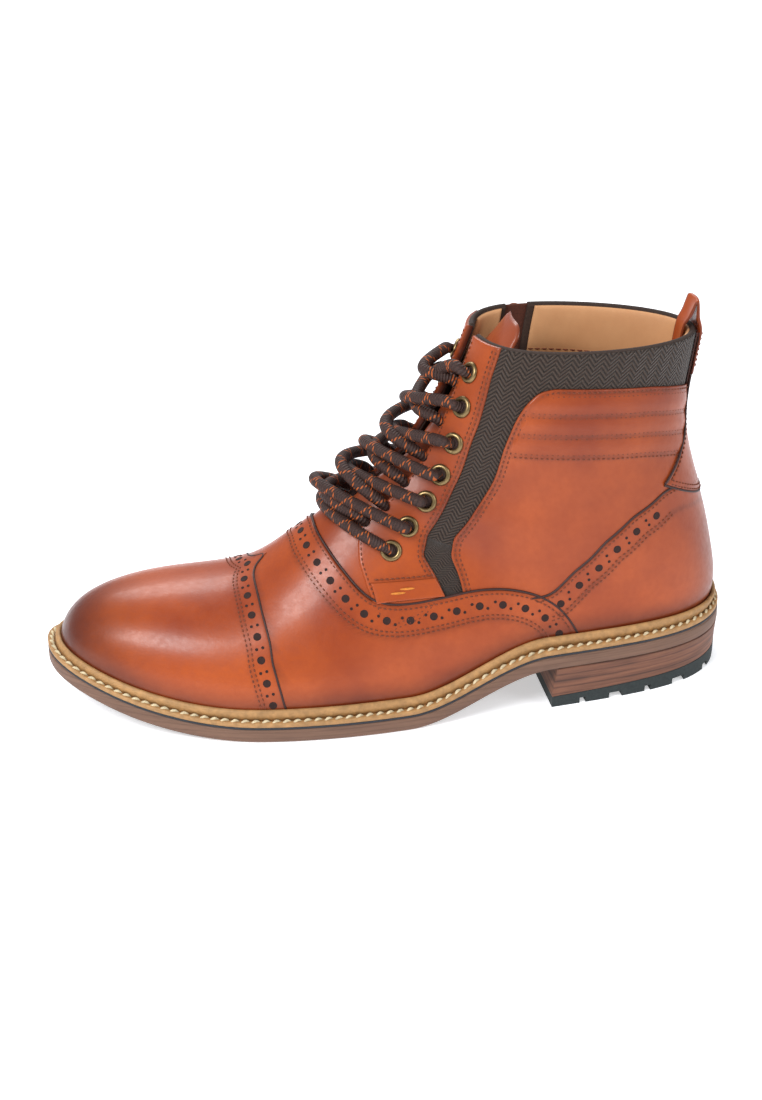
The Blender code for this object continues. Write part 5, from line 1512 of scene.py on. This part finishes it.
def plan_ring(margin, height):
    """The foot's outline moved out in plan; height is a function of x along the sole."""
    ring = skin_ring(0.0, 0.0)[:, :2]
    for _ in range(2):
        ring = (np.roll(ring, 1, axis=0) + 2 * ring + np.roll(ring, -1, axis=0)) / 4
    step = np.roll(ring, -1, axis=0) - np.roll(ring, 1, axis=0)
    out = np.stack([-step[:, 1], step[:, 0]], axis=1)
    ring = ring + margin * out / np.linalg.norm(out, axis=1, keepdims=True)
    return np.column_stack([ring, height(ring[:, 0] + FRAME_SHIFT[0])])


def raised(base, rise):
    """The height of a line along the sole, raised by a distance."""
    return lambda x: base(x) + rise


def plan_rings(table, base):
    """Rings from a table of margins and rises in millimetres over a line along the sole."""
    return [plan_ring(margin * MM, raised(base, rise * MM)) for margin, rise in table]


def skin_rings(table):
    return [skin_ring(up * MM, lift * MM) for up, lift in table]


def banded(name, rings, finish, capped, smooth=True):
    """Rings joined one after the other. With caps the first and last close with rungs across."""
    count = len(rings[0])
    points = np.concatenate(rings)
    index = wrap(np.arange(len(points)).reshape(len(rings), count), 1)
    if not capped:
        index = wrap(index, 0)
    faces = quads_of(index).tolist()
    if capped:
        half = (count - 1) // 2
        for first, flip in ((0, 1), ((len(rings) - 1) * count, -1)):
            faces.append((first, first + 1, first + count - 1)[::flip])
            for k in range(1, half):
                rung = (k, k + 1, count - k - 1, count - k)
                faces.append(tuple(first + v for v in rung)[::flip])
            if count % 2 == 0:
                faces.append(tuple(first + half + v for v in range(3))[::flip])
    return new_mesh(name, points, outward(points, faces), finish, smooth=smooth)


# %% [markdown]
# The welt is the strip that joins upper and sole, with the storm rib standing in the corner
# between them. Its cream stitches lean, as a lockstitch in thick thread does. Below it come
# the dark midsole and the brown slab. Each table row is a margin outwards and a height.

# %% Welt, midsole and slab
WELT_PLAN = ((6.75, 0.0), (7.0, 0.25), (7.05, 1.6), (6.8, 2.0), (6.3, 2.15), (4.9, 1.9))
WELT_SKIN = ((1.8, 3.9), (1.8, 1.5), (0.0, 1.5))
RIB_SKIN = ((1.7, 4.2), (5.2, 4.1), (6.1, 3.7), (6.5, 3.0), (6.2, 2.2), (5.0, 1.8), (1.7, 1.8))
MIDSOLE_PLAN = ((6.6, 0.0), (6.95, -0.1), (6.95, -0.9), (6.6, -1.0))
SLAB_TOP = OUTSOLE_THICKNESS / MM - 0.02
SLAB_PLAN = ((6.3, SLAB_TOP), (7.0, SLAB_TOP - 0.3), (7.1, SLAB_TOP - 1.0), (7.1, 1.3),
             (6.8, 0.45), (6.0, 0.05), (4.5, 0.0))
WELT_PITCH, WELT_STITCH_LEAN = 4.3 * MM, 0.42
welt_rings = plan_rings(WELT_PLAN, midsole_top) + skin_rings(WELT_SKIN)
dress(banded("welt", welt_rings, WELT_TAN, False), "boot", "welt", "welt")
dress(banded("storm_rib", skin_rings(RIB_SKIN), WELT_TAN, False), "boot", "welt")
stitch_ring = plan_ring(5.45 * MM, raised(midsole_top, 2.05 * MM))
ring_length = length_of(np.concatenate([stitch_ring, stitch_ring[:1]]))
spots = even_ring(stitch_ring, int(ring_length / WELT_PITCH))
ahead = unit(np.roll(spots, -1, axis=0) - np.roll(spots, 1, axis=0))
upright = unit(np.cross(ahead, np.cross(np.tile((0.0, 0.0, 1.0), (len(spots), 1)), ahead)))
dress(copies("welt_stitches", stitch_shape(4.5 * MM, 1.35 * MM, 8, 7), spots, ahead, upright,
             CREAM_THREAD, WELT_STITCH_LEAN), "boot", "welt")
print("welt stitches:", len(spots))
for name, table, base, finish, slot in (
        ("midsole", MIDSOLE_PLAN, midsole_top, SLATE_LINE, "midsole"),
        ("outsole", SLAB_PLAN, sole_lift, SLAB_BROWN, "outsole")):
    dress(banded(name, plan_rings(table, base), finish, True), "boot", slot, name)

# %% [markdown]
# ## Heel
# The heel is the back part of the same outline, closed by a flat breast that slants forward
# at the bottom. The rubber lift has notches in its lower edge, narrow and wide in turn. Points
# of the two lowest rings that fall in a notch are drawn inwards, which cuts it out without a
# Boolean.

# %% Heel stack and rubber lift
LIFT_HEIGHT, LIFT_WEDGE = 6.5 * MM, 2.5 * MM
LUG_COUNT, LUG_DEPTH, LUG_REACH = 5, 2.6 * MM, 12.0 * MM
NOTCH_START_SHARE, NOTCH_SPAN_SHARE = 0.14, 0.72
NARROW_NOTCH, WIDE_NOTCH = 2.4 * MM, 5.4 * MM
HEEL_POINTS = 300
HEEL_TOP = HEEL_BLOCK_HEIGHT + 0.1 * MM
BREAST = HEEL_LENGTH + 2.0 * MM
UPPER_BREAST = HEEL_LENGTH + 1.2 * MM


def heel_ring(margin, breast, height, notched=0.0):
    """The outline behind the breast, from the back round the outer side and up the inner one."""
    ring = plan_ring(margin, height)
    half = len(ring) // 2
    sides = []
    for part in (ring[:half], np.roll(ring, -1, axis=0)[::-1][:half]):
        x = part[:, 0] + FRAME_SHIFT[0]
        place = lengths_along(part[:, :2])
        end = np.interp(breast, x[:int(np.argmax(x > breast)) + 1],
                        place[:int(np.argmax(x > breast)) + 1])
        even = np.linspace(0, end, HEEL_POINTS)
        side = np.stack([np.interp(even, place, part[:, k]) for k in range(2)], axis=-1)
        x = side[:, 0] + FRAME_SHIFT[0]
        for number in range(LUG_COUNT if notched else 0):
            share = NOTCH_START_SHARE + NOTCH_SPAN_SHARE * number / (LUG_COUNT - 1)
            width = WIDE_NOTCH if number % 2 else NARROW_NOTCH
            inside = np.abs(x - HEEL_LENGTH * share) < width / 2
            side[inside, 1] -= np.sign(side[inside, 1]) * notched
        sides.append(side)
    sides[1][0] = sides[0][0]
    ring = np.concatenate([sides[0], sides[1][:0:-1]])
    return np.column_stack([ring, height(ring[:, 0] + FRAME_SHIFT[0])])


def lift_top(x):
    return LIFT_HEIGHT + LIFT_WEDGE * (0.5 - x / HEEL_LENGTH)


def level(height):
    return lambda x: np.full_like(x, height)


stack = banded("heel_stack", [
    heel_ring(6.5 * MM, HEEL_LENGTH, level(HEEL_TOP)),
    heel_ring(6.9 * MM, HEEL_LENGTH, level(HEEL_TOP - 0.4 * MM)),
    heel_ring(6.4 * MM, UPPER_BREAST, lambda x: (HEEL_TOP + lift_top(x)) / 2),
    heel_ring(6.0 * MM, BREAST, lift_top)], HEEL_BROWN, True, False)
dress(stack, "boot", "heel_stack", "heel_stack")
lift = banded("heel_lift", [
    heel_ring(5.6 * MM, BREAST, lift_top),
    heel_ring(6.1 * MM, BREAST, raised(lift_top, -0.4 * MM)),
    heel_ring(6.0 * MM, BREAST, level(LUG_DEPTH)),
    heel_ring(6.0 * MM, BREAST, level(LUG_DEPTH), LUG_REACH),
    heel_ring(5.8 * MM, BREAST, level(0.0), LUG_REACH)], RUBBER, True, False)
dress(lift, "boot", "heel_rubber", "heel_lift")

# %% [markdown]
# The insole is a thin dark board on top of the midsole, inside the upper. Only a look straight
# down into the boot would show it, so it is plain.

# %% Insole
INSOLE_PLAN = ((-4.2, 0.2), (-3.6, 0.5), (-3.6, 2.6), (-4.4, 3.0))
insole = banded("insole", plan_rings(INSOLE_PLAN, midsole_top), DARK_LINING, True)
dress(insole, "boot", "lining", "insole")

# %% [markdown]
# ## Eyelets and laces
# Eyelets are turned parts: one profile spun round an axis, then copied with its axis along the
# leather's normal. The profile lists radii and heights in millimetres, from inside the barrel
# over the rim to the outside.

# %% Eyelets
EYELET_PROFILE = ((2.45, -2.4), (2.42, 0.5), (2.62, 0.92), (3.05, 1.18), (3.55, 1.22),
                  (4.05, 1.02), (4.42, 0.62), (4.6, 0.12), (4.5, -0.12), (3.0, -0.15),
                  (2.85, -2.4))
BORE_RADIUS, BORE_LIFT = 2.5 * MM, 0.12 * MM


def turned(profile, sides):
    """A profile of radii and heights spun round Z, closed into a ring."""
    profile = np.array(profile) * MM
    around = np.linspace(0, 2 * np.pi, sides, endpoint=False)
    points = np.stack([profile[:, :1] * np.cos(around), profile[:, :1] * np.sin(around),
                       profile[:, 1:] * np.ones_like(around)], axis=-1).reshape(-1, 3)
    index = wrap(wrap(np.arange(len(points)).reshape(len(profile), sides), 1), 0)
    return points, quads_of(index).tolist()


eyelet_station, eyelet_angle = np.array(EYELETS).T
station = np.tile(eyelet_station, 2)
turn = np.concatenate([eyelet_angle, -eyelet_angle]) * np.pi
centres = on_skin(station, turn, STAY_LIFT)
normals = skin_normal(station, turn)
down_skin = unit(on_skin(station + 0.05, turn) - on_skin(station, turn))
replaced = [f"eyelet_{side_name}_{number}" for _, side_name in SIDES for number in range(1, 8)]
dress(copies("eyelets", turned(EYELET_PROFILE, 40), centres, down_skin, normals, OLD_BRASS),
      "boot", "eyelet_brass", *replaced)
# A near black disc in each eyelet: painted shade for the depth of its bore
dress(copies("eyelet_bore_shades", hole_shape(BORE_RADIUS, 24), centres + BORE_LIFT * normals,
             down_skin, normals, HOLE_SHADE), "boot", "lace")

# %% [markdown]
# A lace is a tube along a curve through a few given points: out from under the stay, over
# the middle, and down through the next eyelet on the other side. It is pinched where it goes into the
# leather. The braid's flecks are
# drawn by the material from numbers on the vertices: the distance along the lace and the place
# round it, as a sine and a cosine.

# %% Laces
LACE_RADIUS = 2.1 * MM
LACE_SWELL, LACE_PINCH = 0.22, 4.5 * MM
LACE_ARCH = 10.5 * MM
LACE_CROSSING = 1.15 * LACE_RADIUS
LACE_SETBACK = 0.42
LACE_SIDES = 18
EYELET_TOP = 2.75 * MM
BRAID_PITCH, RIB_PITCH = 9.0, 1.15
LACE_DARK, LACE_LIGHT, LACE_GAP_SHADE = (0.022, 0.009, 0.007), (0.060, 0.024, 0.017), (0.008, 0.004, 0.003)
LACE_FLECK = (0.42, 0.090, 0.012)


def braid(name):
    """Fine ribs across the lace, and two orange threads that wind round it, one each way."""
    made, tree, shader = new_material(name, Roughness=0.62, Specular_IOR_Level=0.4)
    along, sine, cosine = read(tree, "along"), read(tree, "ring_sine"), read(tree, "ring_cosine")

    def winding(operation, start):
        angle = calc(tree, "ADD", calc(tree, "MULTIPLY", along, 2 * math.pi / BRAID_PITCH), start)
        first = calc(tree, "MULTIPLY", calc(tree, "SINE", angle), cosine)
        second = calc(tree, "MULTIPLY", calc(tree, "COSINE", angle), sine)
        return ramp(tree, calc(tree, operation, first, second), 0.90, 0.96)

    ribs = wave(tree, calc(tree, "ADD", along, calc(tree, "MULTIPLY", sine, 0.5)), RIB_PITCH)
    threads = calc(tree, "MAXIMUM", winding("ADD", 0.0), winding("SUBTRACT", 1.3))
    flecks = calc(tree, "MULTIPLY", threads, ramp(tree, ribs, -0.1, 0.25))
    fine = noise(tree, object_place(tree), 1500.0, 3.0, 0.6)
    cloth = mix(tree, ramp(tree, fine, 0.3, 0.7), LACE_DARK, LACE_LIGHT)
    # The troughs between the ribs go near black: painted shade of the grooves
    cloth = mix(tree, ramp(tree, ribs, -1.0, 0.0, 0.45, 0.0), cloth, LACE_GAP_SHADE)
    tree.links.new(mix(tree, flecks, cloth, LACE_FLECK), shader.inputs["Base Color"])
    bump(tree, shader, calc(tree, "ADD", ribs, fine), 0.7, 0.22 * MM)
    return made


LACE_CLOTH = braid("braided_lace")
lace_lengths = []


def lace(name, anchors, nodes=()):
    """A braided tube through the anchors, thinner near its two ends."""
    fine = np.linspace(0, len(anchors) - 1, 18 * (len(anchors) - 1) + 1)
    curve = np.stack([natural_spline(column)(fine) for column in np.array(anchors).T], axis=-1)
    place = lengths_along(curve)
    from_end = np.minimum(place, place[-1] - place)
    swell = 1 + LACE_SWELL * smoothstep((from_end - LACE_PINCH) / LACE_PINCH)
    made = tube(name, curve, LACE_RADIUS * swell, LACE_CLOTH, LACE_SIDES)
    angle = np.linspace(0, 2 * np.pi, LACE_SIDES, endpoint=False)
    add_values(made, along=np.repeat(place / MM, LACE_SIDES),
               ring_sine=np.tile(np.sin(angle), len(curve)),
               ring_cosine=np.tile(np.cos(angle), len(curve)))
    dress(made, "boot", "lace", *nodes)
    lace_lengths.append(place[-1])


def beside_throat(station, side, lift, inset):
    """A point over the throat, a little inside the edge of the lace stay."""
    angle = float(angle_at(THROAT_EDGE, station))
    step = float(turn_for_width(np.array(station), np.array(angle), OUTER, inset))
    return on_skin(station, side * max(angle - step, 0.0), lift)


def lace_anchors(number, side, arch):
    """From under the stay beside one eyelet, over the middle, into the next one across."""
    station, _ = EYELETS[number]
    across, around = EYELETS[number - 1]
    turn = -side * around * np.pi
    toward = side * float(turn_for_width(np.array(across), np.array(around * np.pi), OUTER, MM))
    return [
        beside_throat(station - LACE_SETBACK + 0.1, side, -2.4 * MM, 1.2 * MM),
        beside_throat(station - LACE_SETBACK - 0.08, side, 2 * LACE_RADIUS, 1.5 * LACE_RADIUS),
        on_skin((station + across) / 2 + 0.1, 0.0, arch),
        on_skin(across + 0.06, turn + 6.2 * toward, EYELET_TOP + 4.3 * MM),
        on_skin(across + 0.02, turn + 1.6 * toward, EYELET_TOP + 1.5 * MM),
        on_skin(across, turn + 0.1 * toward, -0.5 * MM),
    ]


for number in range(1, 7):
    upper_side = OUTER if number % 2 else INNER
    for side, side_name in SIDES:
        arch = LACE_ARCH + (LACE_CROSSING if side == upper_side else -LACE_CROSSING)
        lace(f"lace_{number}_{side_name}", lace_anchors(number, side, arch),
             (f"lace_cross_{number}",) if side == OUTER else ())
bar_station, bar_angle = EYELETS[-1]
BAR_POINTS = ((1.0, -0.5 * MM), (0.94, EYELET_TOP + 1.2 * MM), (0.62, EYELET_TOP + 3.4 * MM),
              (0.0, 4.6 * MM), (-0.62, EYELET_TOP + 3.4 * MM), (-0.94, EYELET_TOP + 1.2 * MM),
              (-1.0, -0.5 * MM))
lace("lace_bar", [on_skin(bar_station, bar_angle * np.pi * share, lift)
                  for share, lift in BAR_POINTS], ("lace_bar",))
print("laces:", len(lace_lengths), "pieces,", round(sum(lace_lengths) / MM), "mm in all")

# %% [markdown]
# ## Zip
# A woven tape lies behind the opening, and a nylon coil runs down its middle. The coil is a
# row of short rounded bars across the zip, one per turn of the wire.

# %% Tape and coil
COIL_PITCH, COIL_LIFT = 1.15 * MM, 0.15 * MM
zip_rows = np.linspace(0.03, ZIP_FOOT_STATION + 0.05, 150)
zip_angle = angle_at(ZIP_LINE, zip_rows)
tape_half = turn_for_width(zip_rows, zip_angle, INNER, ZIP_OPENING / 2 + 1.5 * MM)
tape_turn = -(zip_angle[:, None] + np.linspace(-1, 1, 25) * tape_half[:, None])
dress(wall("zip_tape", zip_rows[:, None], tape_turn, -0.35 * MM, -1.05 * MM, ZIP_CLOTH),
      "boot", "zip_tape", "zip_tape")
coil_rows = np.linspace(0.02, ZIP_FOOT_STATION - 0.1, 400)
coil_places, coil_ahead, coil_out = along_line((coil_rows, -angle_at(ZIP_LINE, coil_rows)),
                                               COIL_PITCH, COIL_LIFT)
dress(copies("zip_coil", stitch_shape(4.8 * MM, 1.25 * MM, 8, 7), coil_places,
             np.cross(coil_out, coil_ahead), coil_out, ZIP_COIL), "boot", "zip_teeth",
      "zip_teeth")
print("coil turns:", len(coil_places))

# %% [markdown]
# ## Slider and pull
# The slider is a rounded block with a bail, in axes of its own: across the zip, up along it
# and out of the leather. The pull is a separate piece on its own body, which swings on the
# frame's joint. Rounded boxes are balls whose sines and cosines are raised to a small power,
# which rounds every edge at once, as tumbled castings are rounded.

# %% Slider and pull
SLIDER_STATION = 0.75
SLIDER_UNDER, SLIDER_TOP, SLIDER_PIN = 1.3 * MM, 3.9 * MM, 5.05 * MM
POST_SIZE, POST_PLACE, POST_RISE = (2.4 * MM, 1.1 * MM, 4.0 * MM), 3.15 * MM, 1.3 * MM
PULL_TOP, PULL_END = -5.0 * MM, -26.0 * MM
PULL_HALF, PULL_THICK, PULL_BEVEL = 4.6 * MM, 1.2 * MM, 0.25 * MM
PULL_ROUNDING = 0.42
PULL_HOLE, PULL_HOLE_PLACE = 2.0 * MM, -21.6 * MM
ARM_SIZE, ARM_PLACE = (1.3 * MM, 7.0 * MM, 1.2 * MM), (2.65 * MM, -2.9 * MM)
PIN_SIZE = (6.6 * MM, 1.4 * MM, 1.4 * MM)


def zip_point(station):
    return on_skin(station, -float(angle_at(ZIP_LINE, station)))


slider_origin = zip_point(SLIDER_STATION)
slider_out = skin_normal(np.array(SLIDER_STATION), -angle_at(ZIP_LINE, SLIDER_STATION))
slider_up = zip_point(SLIDER_STATION - 0.3) - slider_origin
slider_up = unit(slider_up - slider_up @ slider_out * slider_out)
SLIDER_AXES = np.stack([np.cross(slider_up, slider_out), slider_up, slider_out])


def soft_power(value, power):
    return np.sign(value) * np.abs(value) ** power


def pillow(size, centre, rings=14, sides=28, power=0.45):
    """A rounded box round a centre."""
    tilt = np.linspace(0, np.pi, rings)[1:-1, None]
    around = np.linspace(0, 2 * np.pi, sides, endpoint=False)[None, :]
    wide, high = soft_power(np.sin(tilt), power), soft_power(np.cos(tilt), power)
    body = np.stack([wide * soft_power(np.cos(around), power),
                     wide * soft_power(np.sin(around), power),
                     high * np.ones_like(around)], axis=-1).reshape(-1, 3)
    points = np.concatenate([body, [(0, 0, 1), (0, 0, -1)]]) * np.array(size) / 2
    index = wrap(np.arange(len(body)).reshape(-1, sides), 1)
    faces = quads_of(index).tolist()
    top, bottom = len(body), len(body) + 1
    faces += [(top, a, b) for a, b in zip(index[0, :-1].tolist(), index[0, 1:].tolist())]
    faces += [(bottom, b, a) for a, b in zip(index[-1, :-1].tolist(), index[-1, 1:].tolist())]
    return points + np.array(centre), faces


def on_slider(name, parts, finish, body, node_name):
    """Several closed shapes in the slider's axes as one piece of the boot."""
    points, faces, count = [], [], 0
    for part_points, part_faces in parts:
        placed = slider_origin + part_points @ SLIDER_AXES
        faces += [tuple(v + count for v in face) for face in outward(placed, part_faces)]
        points.append(placed)
        count += len(placed)
    dress(new_mesh(name, np.concatenate(points), faces, finish), body, "slider", node_name)


on_slider("zip_slider", [
    pillow((7.8 * MM, 10.5 * MM, 1.1 * MM), (0, 0, SLIDER_UNDER + 0.55 * MM)),
    pillow((7.0 * MM, 9.6 * MM, 1.5 * MM), (0, 0, SLIDER_TOP - 0.75 * MM)),
    pillow(POST_SIZE, (0, POST_PLACE, SLIDER_TOP + POST_RISE)),
    pillow(POST_SIZE, (0, -POST_PLACE, SLIDER_TOP + POST_RISE)),
    pillow((2.4 * MM, 7.3 * MM, 1.1 * MM), (0, 0, SLIDER_TOP + 2.85 * MM)),
], DARK_NICKEL, "boot", "zip_slider")

around = np.linspace(0, 2 * np.pi, 96, endpoint=False)


def tab_ring(inset, height):
    """The tab's outline: a rounded rectangle as a superellipse, wider at its foot."""
    x, y = (soft_power(part, PULL_ROUNDING) for part in (np.cos(around), np.sin(around)))
    length = (PULL_TOP - PULL_END) / 2 - inset
    return np.column_stack([x * (PULL_HALF - inset) * (0.90 - 0.10 * y),
                            (PULL_TOP + PULL_END) / 2 + y * length,
                            np.full(96, SLIDER_PIN + height)])


def hole_ring(grow, height):
    radius = PULL_HOLE + grow
    return np.column_stack([radius * np.cos(around), PULL_HOLE_PLACE + radius * np.sin(around),
                            np.full(96, SLIDER_PIN + height)])


face = PULL_THICK / 2
shoulder = face - PULL_BEVEL
tab_points = np.concatenate([
    tab_ring(PULL_BEVEL, face), tab_ring(0, shoulder), tab_ring(0, -shoulder),
    tab_ring(PULL_BEVEL, -face), hole_ring(PULL_BEVEL, -face), hole_ring(0, -shoulder),
    hole_ring(0, shoulder), hole_ring(PULL_BEVEL, face)])
tab_index = wrap(wrap(np.arange(len(tab_points)).reshape(8, 96), 1), 0)
arm_x, arm_y = ARM_PLACE
on_slider("zip_pull", [
    (tab_points, quads_of(tab_index).tolist()),
    pillow(PIN_SIZE, (0, 0, SLIDER_PIN)),
    pillow(ARM_SIZE, (arm_x, arm_y, SLIDER_PIN)),
    pillow(ARM_SIZE, (-arm_x, arm_y, SLIDER_PIN)),
], OLD_BRASS, "zip_pull", "zip_pull")

# %% [markdown]
# ## Camera
# The camera looks down on the boot's outer side, as in the photo, with a long lens. It is
# placed by an azimuth, an elevation and a roll round a point in the boot.

# %% Camera
AIM = Vector((0.1085, 0.0, 0.060))
DISTANCE = 0.924
LENS = 102.7
AZIMUTH, ELEVATION, ROLL = math.radians(9.44), math.radians(26.54), math.radians(1.06)
ahead = Vector((math.sin(AZIMUTH), math.cos(AZIMUTH), 0.0))
toward = ahead * math.cos(ELEVATION) + Vector((0.0, 0.0, math.sin(ELEVATION)))
right = Vector((-math.cos(AZIMUTH), math.sin(AZIMUTH), 0.0))
upward = toward.cross(right)
camera_x = right * math.cos(ROLL) - upward * math.sin(ROLL)
camera_y = right * math.sin(ROLL) + upward * math.cos(ROLL)
camera_data = bpy.data.cameras.new("camera")
camera_data.sensor_fit = "HORIZONTAL"
camera_data.sensor_width = 36.0
camera_data.lens = LENS
camera = bpy.data.objects.new("camera", camera_data)
camera.matrix_world = Matrix.Translation(AIM + DISTANCE * toward) @ Matrix(
    (camera_x, camera_y, toward)).transposed().to_4x4()
bpy.context.scene.collection.objects.link(camera)
bpy.context.scene.camera = camera
print("camera at", [round(v, 3) for v in camera.matrix_world.translation])

# %% [markdown]
# ## Light and floor
# Three large soft lights and a pale world stand in for a product photographer's light tent.
# The key light comes low from the toe's side, so its highlights run along the cap and the vamp.

# %% Lights and floor
LIGHTS = (
    ("key_light", (0.90, 0.66, 0.99), (0.6, 0.5), 15.5),
    ("side_light", (-0.85, 0.75, 0.75), (0.5, 0.7), 4.5),
    ("back_light", (0.10, -0.90, 0.95), (0.9, 0.4), 9.0),
)
FLOOR_HALF = 3.0
for name, place, size, power in LIGHTS:
    data = bpy.data.lights.new(name, "AREA")
    data.shape = "RECTANGLE"
    data.size, data.size_y = size
    data.energy = power
    light = bpy.data.objects.new(name, data)
    light.location = place
    light.rotation_euler = (AIM - Vector(place)).to_track_quat("-Z", "Y").to_euler()
    bpy.context.scene.collection.objects.link(light)
world = bpy.context.scene.world or bpy.data.worlds.new("studio")
bpy.context.scene.world = world
world.use_nodes = True
sky = world.node_tree.nodes["Background"].inputs
sky["Color"].default_value = (0.93, 0.95, 1.0, 1.0)
sky["Strength"].default_value = 0.46
bpy.context.scene.view_settings.view_transform = "Standard"
floor_mesh = bpy.data.meshes.new("floor")
floor_mesh.from_pydata([(x * FLOOR_HALF, y * FLOOR_HALF, 0.0)
                        for x, y in ((-1, -1), (1, -1), (1, 1), (-1, 1))], [], [(0, 1, 2, 3)])
floor = bpy.data.objects.new("floor", floor_mesh)
bpy.context.scene.collection.objects.link(floor)
floor_white, _, _ = new_material("floor_white", Base_Color=(0.88, 0.89, 0.92, 1.0),
                                 Roughness=0.85, Emission_Color=(1.0, 1.0, 1.0, 1.0),
                                 Emission_Strength=0.5, Specular_IOR_Level=0.1)
floor_mesh.materials.append(floor_white)

# %% Sizes and finish
triangles = sum(len(face.vertices) - 2 for piece in PIECES for face in piece.data.polygons)
print("pieces:", len(PIECES), "triangles:", triangles)
